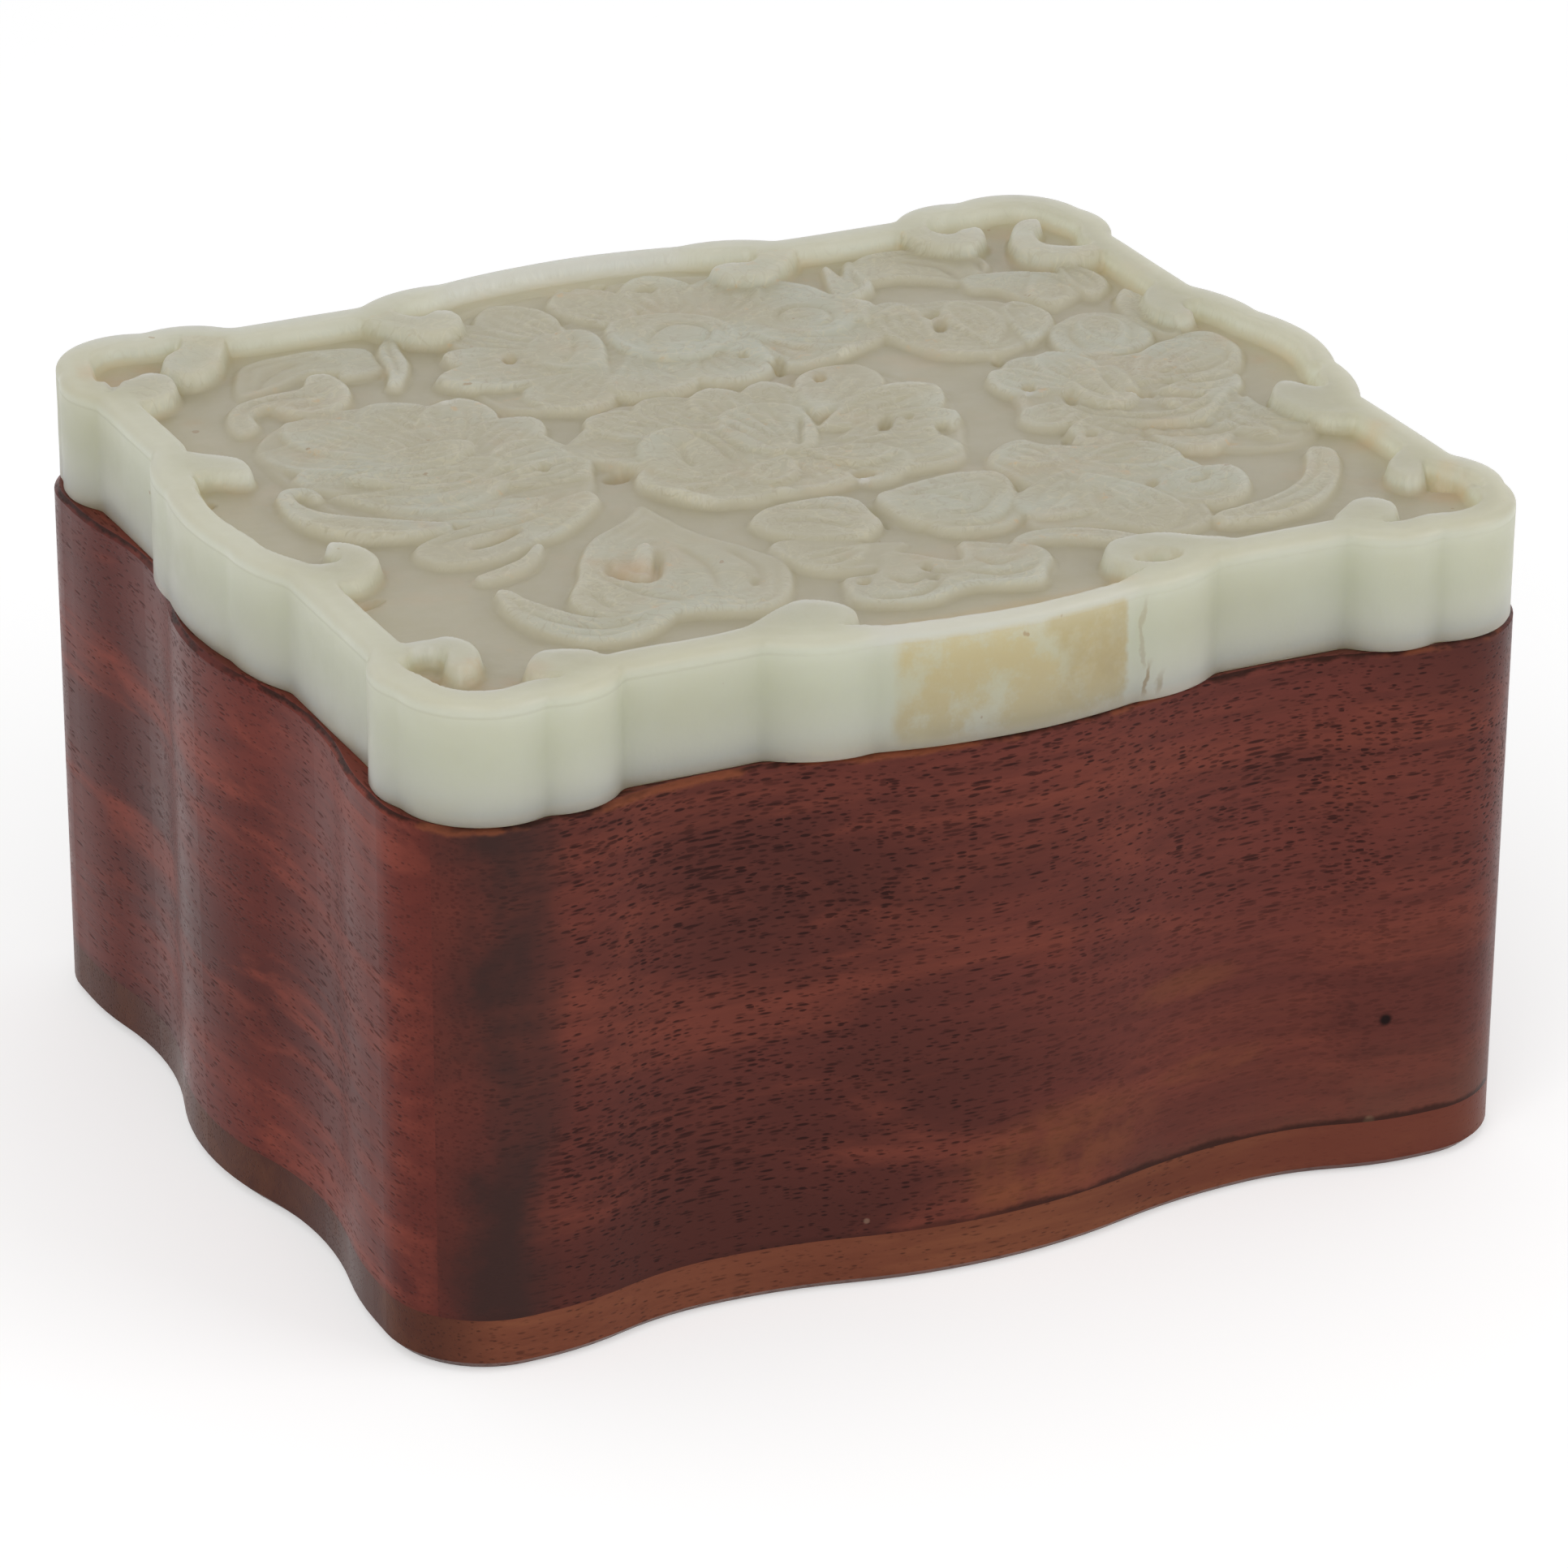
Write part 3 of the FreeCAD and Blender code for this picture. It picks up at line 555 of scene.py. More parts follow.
hook(370,-436, 392,-414, 413,-400, 434,-403, 446,-423, 439,-442, 423,-456, 380,-470)
hook(570,-290, 536,-296, 510,-314, 489,-334, 482,-356, 492,-376, 510,-370, 524,-348, 542,-344, 570,-350)
hook(570,-220, 540,-220, 514,-213, 492,-195, 479,-163, 479,-131, 499,-104, 515,-106, 530,-129, 545,-131,
    570,-124)
hook(570,200, 536,196, 514,184, 494,156, 490,124, 504,96, 524,100, 528,126, 570,130)
hook(570,315, 530,324, 504,326, 484,344, 490,376, 506,396, 512,412, 490,416, 468,394, 452,360, 452,326,
    482,298, 530,292, 570,288)
hook(346,470, 358,434, 368,398, 390,374, 418,372, 440,392, 444,416, 424,420, 406,410, 396,426, 400,470)
hook(256,470, 240,430, 214,400, 178,379, 144,392, 136,420, 156,430, 180,424, 196,440, 200,470)
hook(-256,470, -240,424, -216,384, -184,366, -154,384, -148,416, -166,428, -186,420, -200,440, -200,470)
hook(-376,470, -386,436, -401,406, -414,381, -432,366, -453,360, -469,372, -471,396, -459,422, -436,440,
    -420,470)
hook(-570,390, -540,384, -516,378, -497,386, -482,384, -471,369, -473,346, -485,323, -502,314, -524,307,
    -570,304)
holes((-549,82, 8, 7, 60, 16), (-530,372, 22, 6, 60, 6), (-529,-384, 16, 10, -40, 10),
    (-506,-206, 20, 4.5, 22, 9), (526,-374, 16, 5, -30, 9), (543,-405, 20, 4, 80, 7),
    (554,-83, 10, 7, 70, 8), (64,420, 10, 8, 0, 5))

H = np.minimum(blur(H, 0.17) + 0.03 * noise(2.2, 5) * fig + 0.02 * noise(1.1, 6), -0.004)
# worn arris at the outside
ARRIS = 0.95
fall = ARRIS - np.sqrt(np.maximum(ARRIS ** 2 - np.clip(ARRIS - edge, 0, ARRIS) ** 2, 0))
H = np.where(edge < ARRIS, np.maximum(H, -0.25) - fall, H)
# spots of old dirt: place, radius and strength
SPOTS = ((-486,-406, 15, 1), (-456,-420, 12, 0.9), (-259,-245, 22, 1), (-284,-216, 9, 0.4),
    (-522,-390, 17, 0.9), (-532,-384, 10, 1), (-476,-434, 18, 0.6), (-444,-438, 16, 0.5),
    (-370,-130, 12, 0.4), (-324,-118, 13, 0.7), (-508,-206, 14, 0.7), (181,-444, 15, 0.6),
    (465,-440, 14, 0.35), (522,-395, 20, 0.8), (538,-366, 12, 0.5), (486,425, 22, 0.5), (526,100, 13, 0.5),
    (534,50, 13, 0.55), (538,0, 13, 0.55), (536,-45, 13, 0.6), (529,-86, 14, 0.9), (526,240, 16, 0.4),
    (524,-250, 16, 0.6), (0,-324, 16, 0.5), (360,-128, 14, 0.35), (-243,226, 14, 0.4), (-480,284, 10, 0.6),
    (-532,406, 26, 0.8), (-504,416, 26, 0.8), (-474,432, 18, 0.7), (-392,424, 15, 0.5),
    (-408,376, 13, 0.35), (-110,-462, 16, 0.6), (-50,-468, 16, 0.5), (20,-468, 18, 0.5), (90,-462, 18, 0.5),
    (-486,45, 13, 0.35), (-386,-70, 13, 0.7), (-425,140, 15, 0.35))
for *place, amount in SPOTS:
    x, y, r = np.array(place) / 10
    win = near(np.array([[x, y]]), 3 * r)
    spot = amount * np.exp(-((GX[win] - x) ** 2 + (GY[win] - y) ** 2) / r ** 2)
    earth[win] = np.maximum(earth[win], spot)
# painted light on the edges that face the front left, then the lows and highs of the relief; the highs get a
# painted highlight
rise_y, rise_x = np.gradient(blur(H, 0.25), CELL)
front_wall = np.clip((0.85 * rise_y + 0.45 * rise_x) / 1.3, 0, 1)
patchy = soft(0.5 + 0.9 * noise(4.5, 11))
pale = np.clip(0.45 * pale * patchy + 0.28 * front_wall * (0.5 + 0.5 * patchy), 0, 1)
blurred = blur(H, 0.9)
ridge = np.clip(H - blurred, 0, 0.5) * 2
crevice = np.where(edge < 2.2, 0, np.clip(blurred - H, 0, 1))


def sample(field, p):
    """Bilinear value of a grid field at points."""
    u = (p[:, 0] - gx[0]) / CELL
    v = (p[:, 1] - gy[0]) / CELL
    i, j = u.astype(int), v.astype(int)
    return between(field, i, j, u - i, v - j)


# ---- jade mesh ----

LAYERS = "level", "pale", "earth", "crevice", "ridge", "border"     # what the jade's colours follow


def add_piece(name, data):
    piece = bpy.data.objects.new(name, data)
    bpy.context.scene.collection.objects.link(piece)
    return piece


def make_jade():
    """Side and arris as rings of points, the top as the carving grid, and a strip of
    triangles that joins the two."""
    n = len(outline)
    normal = ring_normals(outline)
    verts, faces = [], []
    layers = {name: [] for name in LAYERS}

    def add(xy, z, **values):
        """Rows of points; without values they belong to the plain rim."""
        first = len(verts)
        verts.extend((float(x), float(y), float(h)) for (x, y), h in zip(xy, z))
        for name, so_far in layers.items():
            plain = 1.0 if name in ("level", "border") else 0.0
            so_far.extend(float(q) for q in values.get(name, [plain] * len(xy)))
        return first

    def add_faces(corners):
        faces.extend(tuple(int(v) for v in f) for f in np.stack(corners, 1))

    # side rows of height and inset, from the bottom edge up, with a fine line cut under the arris
    height = TOP_Z - RIM_Z
    rows = [(0.0, 0.45), (0.12, 0.16), (0.4, 0.0), (2.5, 0.02), (5.0, 0.0), (7.5, 0.02), (height - 2.4, 0.0),
            (height - 1.55, 0.0), (height - 1.45, 0.05), (height - 1.35, 0.0), (height - ARRIS, 0.0)]
    rings = [add(outline - normal * inset, np.full(n, RIM_Z + z)) for z, inset in rows]
    # arris and the outer part of the rim
    for e in (0.03, 0.1, 0.22, 0.4, 0.62, 0.88, 1.15, 1.45):
        ring = outline - normal * e
        if e < ARRIS:
            z = TOP_Z - (ARRIS - math.sqrt(ARRIS ** 2 - (ARRIS - e) ** 2)) + np.zeros(n)
            z = z - 0.03 * e
        else:
            z = TOP_Z + sample(H, ring)
        rings.append(add(ring, z))
    k = np.arange(n)
    for a, b in zip(rings, rings[1:]):
        add_faces([a + k, a + (k + 1) % n, b + (k + 1) % n, b + k])
    faces.append(tuple(range(rings[0], rings[0] + n))[::-1])

    # grid inside
    keep = edge > 1.8
    index = -np.ones(H.shape, int)
    jj, ii = np.nonzero(keep)
    fields = dict(zip(LAYERS, (np.clip(1 - H / FIELD, 0, 1), pale, earth, crevice, ridge, border)))
    first = add(np.stack([GX[jj, ii], GY[jj, ii]], 1), TOP_Z + H[jj, ii],
                **{name: field[jj, ii] for name, field in fields.items()})
    index[jj, ii] = first + np.arange(len(jj))
    full = keep[:-1, :-1] & keep[1:, :-1] & keep[:-1, 1:] & keep[1:, 1:]
    fj, fi = np.nonzero(full)
    quads = [index[fj, fi], index[fj, fi + 1], index[fj + 1, fi + 1], index[fj + 1, fi]]
    add_faces(quads)

    # strip between the last ring and the open edges of the grid
    open_edges = {}
    for f in np.stack(quads, 1):
        for a, b in zip(f, np.roll(f, -1)):
            if open_edges.pop((int(b), int(a)), None) is None:
                open_edges[(int(a), int(b))] = True
    seam = sorted({v for pair in open_edges for v in pair})
    ids = list(range(rings[-1], rings[-1] + n)) + seam
    place = {v: k for k, v in enumerate(ids)}
    flat = [Vector(verts[v][:2]) for v in ids]
    cuts = [(k, (k + 1) % n) for k in range(n)] + [(place[a], place[b]) for a, b in open_edges]
    for t in delaunay_2d_cdt(flat, cuts, [], 1, 1e-6)[2]:
        if any(v >= len(ids) for v in t):
            continue
        c = sum((flat[v] for v in t), Vector((0, 0))) / len(t)
        own = [ids[v] for v in t]
        if all(v >= first for v in own):
            i, j = int((c.x - gx[0]) / CELL), int((c.y - gy[0]) / CELL)
            if full[j, i]:
                continue
        a, b, e = (flat[v] for v in t[:3])
        if (b - a).cross(e - a) < 0:
            own = own[::-1]
        faces.append(tuple(own))

    mesh = bpy.data.meshes.new("jade_carved")
    mesh.from_pydata([(x * MM, y * MM, z * MM) for x, y, z in verts], [], faces)
    mesh.validate()
    for name, values in layers.items():
        layer = mesh.attributes.new(name, "FLOAT", "POINT")
        layer.data.foreach_set("value", np.array(values, np.float32))
    for p in mesh.polygons:
        p.use_smooth = True
    piece = add_piece("jade_carved", mesh)
    bm = bmesh.new()
    bm.from_mesh(mesh)
    bmesh.ops.delete(bm, geom=[v for v in bm.verts if not v.link_faces], context="VERTS")
    bmesh.ops.recalc_face_normals(bm, faces=bm.faces)
    bm.to_mesh(mesh)
    bm.free()
    return piece


jade = make_jade()
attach(jade, "lid")
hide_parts("jade_plaque")

# ---- node helpers ----

def srgb(r, g, b):
    """Linear colour of a screen colour from 0 to 255."""
    f = lambda c: c / 255 / 12.92 if c <= 10.31 else ((c / 255 + 0.055) / 1.055) ** 2.4
    return (f(r), f(g), f(b), 1.0)


class Net:
    """Adds and links the nodes of a new material or world."""

    def __init__(self, owner, out):
        owner.use_nodes = True
        self.owner, self.tree = owner, owner.node_tree
        self.tree.nodes.clear()
        self.out = self.add(out)

    def add(self, kind, *values, **named):
        """New node. Values go to its first sockets; a name with a capital is a socket too,
        and the others are settings."""
        node = self.tree.nodes.new(kind)
        for k, v in named.items():
            if k[0].isupper():
                self.put(node.inputs[k], v)
            else:
                setattr(node, k, v)
        for socket, v in zip(node.inputs, values):
            self.put(socket, v)
        return node

    def put(self, socket, value):
        if hasattr(value, "is_linked"):
            self.tree.links.new(value, socket)
        else:
            socket.default_value = value

    def math(self, op, *values):
        return self.add("ShaderNodeMath", *values, operation=op).outputs[0]

    def times(self, first, *others):
        for q in others:
            first = self.math("MULTIPLY", first, q)
        return first

    def plus(self, a, b):
        return self.math("ADD", a, b)

    def minus(self, a, b):
        return self.math("SUBTRACT", a, b)

    def off(self, a, b):
        """Distance between two values."""
        return self.math("ABSOLUTE", self.minus(a, b))

    def ramp(self, value, lo, hi, a=0.0, b=1.0):
        return self.add("ShaderNodeMapRange", value, lo, hi, a, b, interpolation_type="SMOOTHSTEP").outputs[0]

    def seen(self):
        """1 for rays that show the stage as it looks: from the camera, mirrored or refracted."""
        ray = self.add("ShaderNodeLightPath").outputs
        both = self.math("MAXIMUM", ray["Is Camera Ray"], ray["Is Glossy Ray"])
        return self.math("MAXIMUM", both, ray["Is Transmission Ray"])


class Surface(Net):
    """Principled material with its textures in the object's own metres."""

    def __init__(self, name):
        super().__init__(bpy.data.materials.new(name), "ShaderNodeOutputMaterial")
        self.bsdf = self.add("ShaderNodeBsdfPrincipled", IOR=1.5)
        self.put(self.out.inputs["Surface"], self.bsdf.outputs[0])
        self.spot = self.add("ShaderNodeTexCoord").outputs["Object"]
        self.base = None

    def mapped(self, scale, move=(0, 0, 0)):
        return self.add("ShaderNodeMapping", Vector=self.spot, Scale=scale, Location=move).outputs[0]

    def noise(self, scale, detail=3.0, rough=0.55, stretch=(1, 1, 1), move=(0, 0, 0), distort=0.0):
        return self.add("ShaderNodeTexNoise", Vector=self.mapped(stretch, move), Scale=scale, Detail=detail,
                        Roughness=rough, Distortion=distort).outputs["Fac"]

    def mix(self, fac, a, b):
        n = self.add("ShaderNodeMix", fac, data_type="RGBA")
        self.put(n.inputs[6], a)
        self.put(n.inputs[7], b)
        return n.outputs[2]

    def over(self, colour, *share):
        """Lay a colour over the base; its share is the product of the last values."""
        self.base = self.mix(self.times(*share), self.base, srgb(*colour))

    def axes(self):
        return self.add("ShaderNodeSeparateXYZ", self.spot).outputs

    def finish(self, rough, height, strength, distance, **settings):
        bump = self.add("ShaderNodeBump", Height=height, Strength=strength, Distance=distance)
        settings.update({"Base Color": self.base, "Roughness": rough, "Normal": bump.outputs[0]})
        for k, v in settings.items():
            self.put(self.bsdf.inputs[k], v)
        return self.owner


def jade_material():
    """Pale celadon at the rim and the sides, warmer and a little mauve in the carved field."""
    m = Surface("jade_stone")
    x, y, z = m.axes()
    level, pale, earth, crevice, ridge, border = (
        m.add("ShaderNodeAttribute", attribute_name=k).outputs["Fac"] for k in LAYERS)
    cloud = m.noise(45, 4, 0.6)
    clear = m.noise(60, 3, 0.5, move=(5, 2, 7))
    warm = m.noise(130, 4, 0.65, move=(3, 1, 2))
    clouded = m.ramp(cloud, 0.35, 0.68)
    side = m.mix(clouded, srgb(191, 193, 174), srgb(186, 186, 165))
    m.base = m.mix(clouded, srgb(185, 183, 161), srgb(180, 176, 151))
    m.over((168, 164, 142), m.ramp(x, 0.045, 0.054, 0, 0.75))
    m.base = m.mix(m.ramp(z, 0.0654, 0.0662), side, m.base)
    # painted light low on the side, and painted shade in the faint line that is cut under the arris
    m.over((205, 205, 186), m.ramp(z, 0.0615, 0.055), 0.7)
    m.over((160, 158, 138), m.ramp(m.off(z, 0.06505), 0.00022, 0.00005),
           m.ramp(x, -0.018, -0.026, 0.08, 0.24))
    rim = m.base
    m.base = m.mix(m.ramp(level, 0.08, 0.45), srgb(177, 169, 144), srgb(178, 171, 145))
    # painted sheen: cool pale patches on the high tops of the figures
    m.over((180, 180, 162), m.ramp(clear, 0.42, 0.66), m.ramp(level, 0.2, 0.5))
    m.over((184, 169, 142), m.ramp(warm, 0.5, 0.7), 0.5)
    # painted highlights on the thin edges and on the slopes that face the front left
    m.over((193, 186, 158), pale, 0.45)
    # painted highlight on the ridges of the relief
    m.over((196, 190, 165), ridge, 0.25)
    # fine tool lines and flecks that keep the figures lively
    for scale, move, turn, much, colour in ((210, (1, 4, 0), 1.6, 0.5, (196, 188, 160)),
                                            (260, (7, 3, 0), 1.8, 0.4, (162, 150, 124)),
                                            (330, (2, 9, 0), 1.2, 0.35, (192, 188, 168))):
        line = m.off(m.noise(scale, 2, 0.5, stretch=(1, 1, 0.2), move=move, distort=turn), 0.5)
        m.over(colour, m.ramp(line, 0.028, 0.004), m.ramp(level, 0.2, 0.4), much)
    fleck = m.ramp(m.noise(620, 3, 0.6, move=(3, 3, 1)), 0.62, 0.72)
    m.over((196, 168, 128), fleck, m.ramp(warm, 0.45, 0.62), m.ramp(level, 0.1, 0.3, 0.2, 0.7))
    m.base = m.mix(border, m.base, rim)
    m.over((184, 168, 138), m.ramp(crevice, 0.15, 0.7), m.ramp(warm, 0.44, 0.64, 0, 0.45))
    m.over((182, 154, 118), earth, m.ramp(warm, 0.38, 0.56, 0.25, 1), 0.8)
    # brown skin left on the middle lobe of the front, on its side and inside its rim
    jag = m.times(m.minus(m.noise(160, 4, 0.7), 0.5), 0.003)
    px = m.plus(x, jag)
    front = m.ramp(y, -0.047, -0.0485)
    skin = m.times(m.ramp(px, -0.0122, -0.0104), m.ramp(px, 0.0124, 0.0116), front, m.ramp(z, 0.0658, 0.065))
    m.over((187, 173, 134), skin, m.ramp(m.noise(170, 5, 0.7, move=(0.3, 0, 0.7)), 0.36, 0.58, 0.3, 0.95))
    m.over((174, 158, 118), m.ramp(m.plus(px, m.times(jag, 1.5)), 0.0036, 0.0056), skin,
           m.ramp(z, 0.0548, 0.0592), m.ramp(m.noise(230, 4, 0.7), 0.3, 0.55, 0.3, 0.75))
    m.over((184, 163, 122), m.ramp(x, -0.0135, -0.0115), m.ramp(x, 0.015, 0.0125),
           m.ramp(y, -0.0438, -0.0456), m.ramp(y, -0.0494, -0.0482), 0.5)
    # thin brown runs beside the skin (place, half width, foot, head and strength), and small specks
    slant = m.plus(px, m.times(z, -0.04))
    for at, wide, low, high, much in ((0.0119, 0.00035, 0.0546, 0.059, 0.75),
                                      (0.0134, 0.0005, 0.0546, 0.0578, 0.6),
                                      (0.0113, 0.0003, 0.0575, 0.0655, 0.3)):
        m.over((146, 122, 88), m.ramp(m.off(slant, at), wide, wide * 0.3), front,
               m.ramp(z, low, low + 0.001), m.ramp(z, high, high - 0.002), much)
    m.over((156, 130, 98), m.ramp(m.noise(480, 2, 0.5, move=(4, 4, 8)), 0.755, 0.785), 0.7)
    # painted light at the foot of the lobes: a warm glow that lifts the shade next to the wood
    foot = m.ramp(m.noise(90, 2, 0.5, move=(8, 2, 2)), 0.42, 0.6)
    m.over((208, 199, 160), m.ramp(z, 0.0575, 0.0548), foot, 0.5)
    m.over((224, 208, 170), m.ramp(z, 0.056, 0.0545, 0, 0.75))
    relief = m.plus(m.noise(700, 3, 0.6), m.times(m.noise(160, 2, 0.5), 1.5))
    return m.finish(m.ramp(m.noise(300, 3, 0.6), 0.3, 0.7, 0.36, 0.48), relief, 0.2, 0.00015, **{
        "Subsurface Weight": 1, "Subsurface Radius": (1, 1, 0.85), "Subsurface Scale": 0.024})


def wood_material(name, along, tone, move, kind=None, pores=0.7, streak=1.7, dense=(0.26, 0.43)):
    """Rosewood with the grain along one axis: 0 for X, 1 for Y. The kinds `wall` and `base` are seen from
    outside and carry the marks of age, and painted shade under the jade and at the foot."""
    m = Surface(name)

    def grain(long_scale, cross):
        s = [cross, cross, cross]
        s[along] = long_scale
        return tuple(s)

    dark, mid, light = tone
    x, y, z = m.axes()
    slow = m.noise(22, 3, 0.5, stretch=grain(0.6, 1.2), move=move)
    vein = m.noise(75, 5, 0.62, stretch=grain(0.12, streak), move=move, distort=0.6)
    fibre = m.noise(420, 4, 0.65, stretch=grain(0.06, 1.6), move=move)
    crowd = m.noise(60, 3, 0.5, stretch=grain(0.4, 1.1), move=(1, 2, 3))
    m.base = m.mix(m.ramp(slow, 0.36, 0.62), srgb(*dark), srgb(*mid))
    m.over(light, m.ramp(vein, 0.46, 0.68), 0.65)
    m.over(dark, m.ramp(fibre, 0.42, 0.66), 0.4)
    m.over(dark, m.ramp(crowd, 0.5, 0.7), 0.45)
    patch = m.ramp(m.noise(48, 3, 0.55, stretch=grain(0.5, 1.1), move=(4, 7, 2)), 0.6, 0.76)
    m.over((124, 58, 38), patch, m.ramp(fibre, 0.7, 0.4), 0.5)
    # open pores: short dark dashes along the grain, no two alike and crowded in some bands
    limit = m.ramp(crowd, 0.3, 0.7, *dense)
    marks = None
    for scale, cross, shift, share in ((820, 3100, 0, 1), (360, 2500, 5.0, 0.85)):
        cell = m.add("ShaderNodeTexVoronoi", feature="F1", voronoi_dimensions="3D", Scale=1.0,
                     Vector=m.mapped(grain(scale, cross), (shift, shift, shift))).outputs
        chance = m.add("ShaderNodeSeparateColor", cell["Color"]).outputs
        size = m.times(limit, m.ramp(chance[0], 0.1, 0.95, 0.35 * share, 1.3 * share))
        pore = m.minus(1, m.ramp(m.minus(cell["Distance"], size), -0.13, 0.13))
        pore = m.times(pore, m.ramp(chance[1], 0, 1, 0.45, 1))
        marks = pore if marks is None else m.math("MAXIMUM", marks, pore)
    if kind == "wall":      # the pores low on the right are filled
        filled = m.times(m.ramp(x, -0.012, 0.018), m.ramp(z, 0.036, 0.022, 0, 0.65))
        marks = m.times(marks, m.minus(1, filled))
    m.over((30, 15, 15), marks, 0.8 * pores)
    if kind:
        blotch = m.noise(70, 4, 0.65, move=(2, 6, 1))
        fleck = m.noise(240, 4, 0.6, move=(6, 1, 3))
        loose = m.minus(fleck, 0.5)
    if kind == "wall":
        # darker wood round the front left corner, paler wood low on the right
        m.over((100, 50, 44), m.ramp(x, -0.049, -0.0535), m.ramp(y, -0.042, -0.047), 0.6)
        corner = m.plus(x, m.times(m.minus(blotch, 0.5), 0.012))
        m.over((62, 42, 39), m.ramp(corner, -0.0565, -0.0505), m.ramp(corner, -0.0435, -0.0485),
               m.ramp(y, -0.038, -0.042), m.ramp(blotch, 0.3, 0.6, 0.6, 1))
        sap = m.times(m.ramp(x, -0.01, 0.03), m.ramp(m.plus(z, m.times(slow, 0.012)), 0.024, 0.01))
        m.over((102, 66, 55), sap, m.ramp(blotch, 0.35, 0.6, 0.25, 0.7))
        # worn finish (place, half sizes and strength), then round dots (place, radius, strength, colour)
        near_front = m.ramp(y, -0.04, -0.045)
        slant = m.plus(z, m.times(x, -0.05))
        for at_x, at_z, wide, tall, much in (
                (0.0204, 0.0225, 0.006, 0.0016, 0.3), (0.0238, 0.0132, 0.006, 0.0014, 0.35),
                (0.006, 0.01, 0.011, 0.005, 0.45), (0.002, 0.007, 0.005, 0.0016, 0.4)):
            u, v = m.times(m.minus(x, at_x), 1 / wide), m.times(m.minus(slant, at_z), 1 / tall)
            m.over((136, 80, 52), m.ramp(m.plus(m.times(u, u), m.times(v, v)), 1.6, 0.1),
                   near_front, much, m.ramp(fleck, 0.35, 0.6, 0.3, 1))
        for at_x, at_z, r, much, colour in (
                (0.0418, 0.016, 0.00065, 0.95, (20, 12, 12)), (0.0406, 0.0052, 0.0006, 0.6, (170, 140, 112)),
                (0.0392, 0.0046, 0.0004, 0.5, (160, 132, 104)),
                (-0.0135, 0.0068, 0.0003, 0.35, (170, 140, 120))):
            u, v = m.minus(x, at_x), m.minus(z, at_z)
            away = m.math("SQRT", m.plus(m.times(u, u), m.times(v, v)))
            m.over(colour, m.ramp(away, 1.3 * r, 0.5 * r), near_front, much)
        # worn top edge, painted shadow of the gap under the jade, on the side only, and the seam of the base
        lift = m.plus(z, m.times(loose, 0.0016))
        side = m.ramp(z, 0.05439, 0.05433)
        m.over((138, 78, 52), m.ramp(lift, 0.0535, 0.0541), side, m.ramp(blotch, 0.48, 0.56),
               m.ramp(y, -0.04, -0.044), 0.7)
        # painted shadow: dark line in the gap under the jade
        m.over((44, 24, 18), m.ramp(lift, 0.0539, 0.0543), side, m.ramp(blotch, 0.62, 0.5, 0.25, 0.9))
        m.over((44, 26, 22), m.ramp(lift, 0.006, 0.0054), m.ramp(x, -0.03, 0.01, 0.15, 0.8))
    elif kind == "base":
        # darker round the left side, redder at the right end, and painted shade at the foot
        m.over((58, 36, 32), m.ramp(x, -0.05, -0.056), 0.55)
        m.over((112, 60, 48), m.ramp(x, 0.018, 0.04), m.ramp(blotch, 0.3, 0.6, 0.3, 0.9))
        # painted shade along the foot of the base
        m.over((64, 34, 28), m.ramp(m.plus(z, m.times(loose, 0.003)), 0.0012, 0), 0.4)
    rough = m.plus(m.ramp(vein, 0.3, 0.7, 0.26, 0.35), m.times(marks, 0.2))
    return m.finish(rough, m.minus(m.times(fibre, 0.35), marks), 0.3, 0.00008, **{"Specular IOR Level": 0.07})


def bamboo_material():
    m = Surface("bamboo")
    fibre = m.noise(900, 3, 0.6, stretch=(1, 1, 0.06))
    m.base = m.mix(m.ramp(fibre, 0.35, 0.65), srgb(196, 158, 104), srgb(158, 116, 70))
    return m.finish(m.ramp(fibre, 0.3, 0.7, 0.45, 0.6), fibre, 0.3, 0.0001)


# dark, middle and light tone of each wood
RED = ((80, 43, 38), (105, 54, 47), (126, 66, 53))
BRIGHT = ((86, 40, 36), (116, 53, 45), (146, 72, 58))
BROWN = ((82, 46, 37), (108, 64, 47), (130, 80, 54))
BASE = ((104, 57, 43), (124, 72, 53), (142, 88, 61))
WOODS = {
    "wall_front": ("front", 0, RED, (0, 0, 0), "wall", 1),
    "wall_back": ("back", 0, RED, (3, 5, 1), "wall", 1),
    "wall_left": ("left", 1, BRIGHT, (7, 2, 4), "wall", 0.7, 3.0, (0.2, 0.34)),
    "wall_right": ("right", 1, RED, (9, 4, 6), "wall", 0.8, 2.4, (0.2, 0.36)),
    "base_plate": ("base", 0, BASE, (2, 8, 5), "base", 0.7, 1.7, (0.2, 0.33)),
    "lid_board": ("lid_board", 0, BROWN, (5, 1, 9)),
    "divider": ("divider", 0, BROWN, (6, 3, 2)),
    "stone_bed": ("stone_bed", 0, BROWN, (1, 6, 8)),
    "stick_bed": ("stick_bed", 0, BROWN, (8, 7, 3)),
    "corner_splines": ("splines", 0, BROWN, (4, 9, 7), None, 0.5),
}
looks = {node: wood_material("rosewood_" + row[0], *row[1:]) for node, row in WOODS.items()}
looks["base_pegs"] = bamboo_material()
jade.data.materials.append(jade_material())
for name, mat in looks.items():
    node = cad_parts[name]
    if not node.data.materials:
        node.data.materials.append(mat)
    for slot in node.material_slots:
        slot.material = mat

# ---- floor, light and camera ----

FLOOR_Z = -0.0002
WHITE = (1, 1, 1, 1)


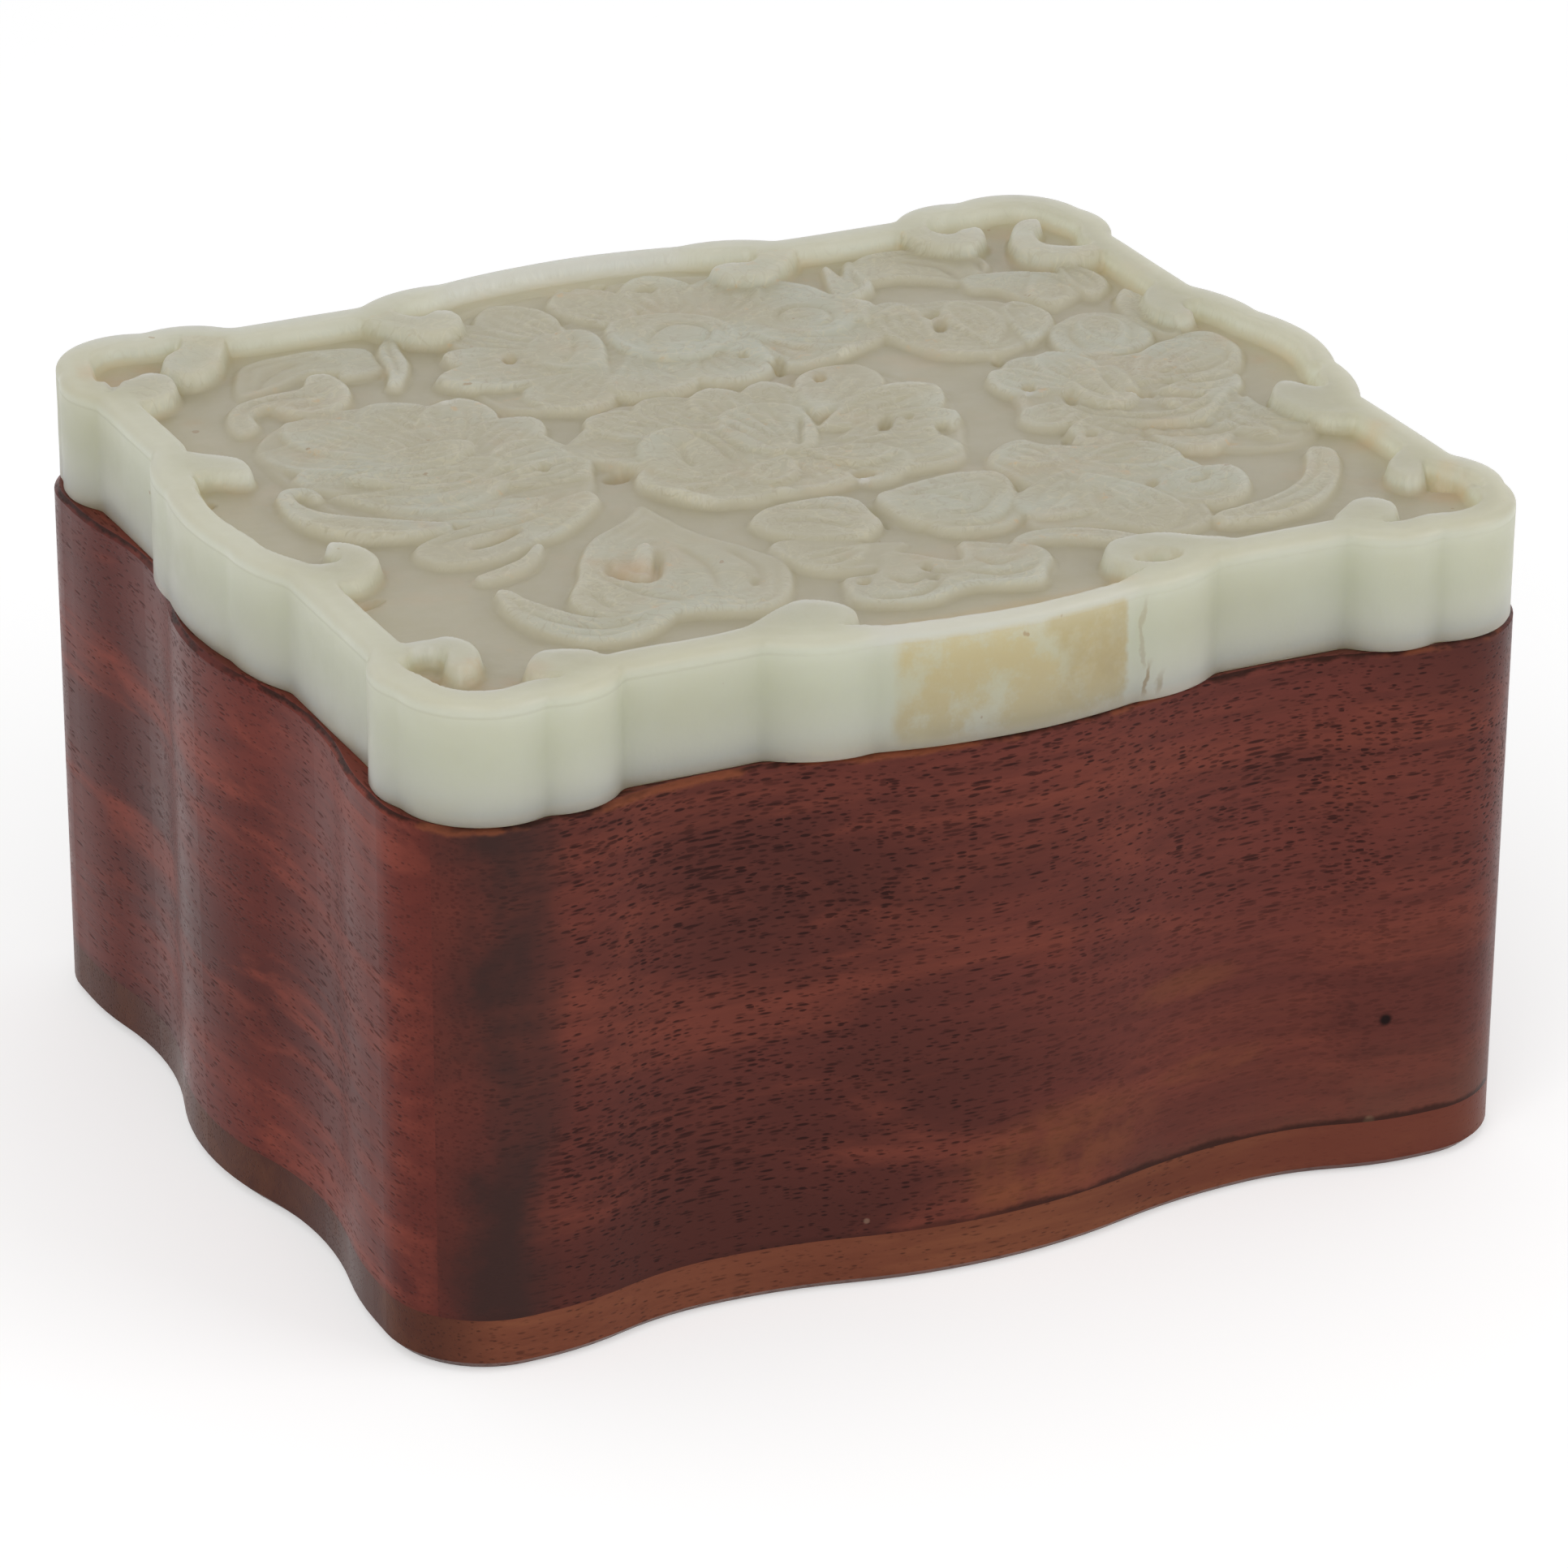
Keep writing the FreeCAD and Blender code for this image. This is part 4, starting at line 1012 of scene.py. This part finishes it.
def make_floor():
    """Pale floor that looks white and keeps the soft shadow."""
    m = Net(bpy.data.materials.new("floor_pale"), "ShaderNodeOutputMaterial")
    diffuse = m.add("ShaderNodeBsdfDiffuse", Color=(0.8, 0.8, 0.8, 1))
    glow = m.add("ShaderNodeEmission", Strength=m.times(m.seen(), 0.42))
    both = m.add("ShaderNodeAddShader", diffuse.outputs[0], glow.outputs[0])
    m.put(m.out.inputs["Surface"], both.outputs[0])
    r = 3.0
    mesh = bpy.data.meshes.new("floor")
    mesh.from_pydata([(x, y, FLOOR_Z) for x, y in ((-r, -r), (r, -r), (r, r), (-r, r))], [], [(0, 1, 2, 3)])
    mesh.materials.append(m.owner)
    piece = add_piece("floor", mesh)


def make_world():
    """White where it is seen, and dimmer as a light."""
    world = bpy.data.worlds.new("studio")
    bpy.context.scene.world = world
    w = Net(world, "ShaderNodeOutputWorld")
    plain, white = (w.add("ShaderNodeBackground", Color=WHITE, Strength=s).outputs[0] for s in (0.52, 1))
    w.put(w.out.inputs["Surface"], w.add("ShaderNodeMixShader", w.seen(), plain, white).outputs[0])


def lamp(name, at, size, watts):
    """Square area light that looks at the middle of the box."""
    data = bpy.data.lights.new(name, "AREA")
    data.shape = "RECTANGLE"
    data.size = data.size_y = size
    data.energy = watts
    obj = add_piece(name, data)
    obj.location = at
    obj.rotation_euler = (Vector((0, 0, 0.035)) - Vector(at)).to_track_quat("-Z", "Y").to_euler()


def make_camera():
    """The camera of the photo, as fitted: angles, distance and slides in mm, and focal length."""
    azimuth, elevation, roll = -0.455564, 0.427602, 0.0065524
    distance, slide_x, slide_y = 641.07, -1.411, 34.607
    focal_px, photo_px, sensor = 8220.68, 1932, 36.0
    sa, ca = math.sin(azimuth), math.cos(azimuth)
    se, ce = math.sin(elevation), math.cos(elevation)
    back = Vector((sa * ce, -ca * ce, se))
    right = Vector((0, 0, 1)).cross(back).normalized()
    up = back.cross(right)
    right, up = math.cos(roll) * right + math.sin(roll) * up, -math.sin(roll) * right + math.cos(roll) * up
    place = back * distance - right * slide_x - up * slide_y + Vector((0, 0, TOP_Z))
    data = bpy.data.cameras.new("camera")
    data.sensor_width = sensor
    data.lens = focal_px / photo_px * sensor
    data.clip_start, data.clip_end = 0.01, 20
    cam = add_piece("camera", data)
    turn = Matrix((right, up, back)).transposed().to_4x4()
    cam.matrix_world = Matrix.Translation(place * MM) @ turn
    bpy.context.scene.camera = cam


make_floor()
make_world()
lamp("key", (-0.75, -0.75, 0.75), 0.8, 4.4)
lamp("fill", (0.85, -0.8, 0.5), 0.9, 4.2)
lamp("top", (0, 0.4, 1.1), 1.2, 1.1)
make_camera()
bpy.context.scene.view_settings.view_transform = "Standard"
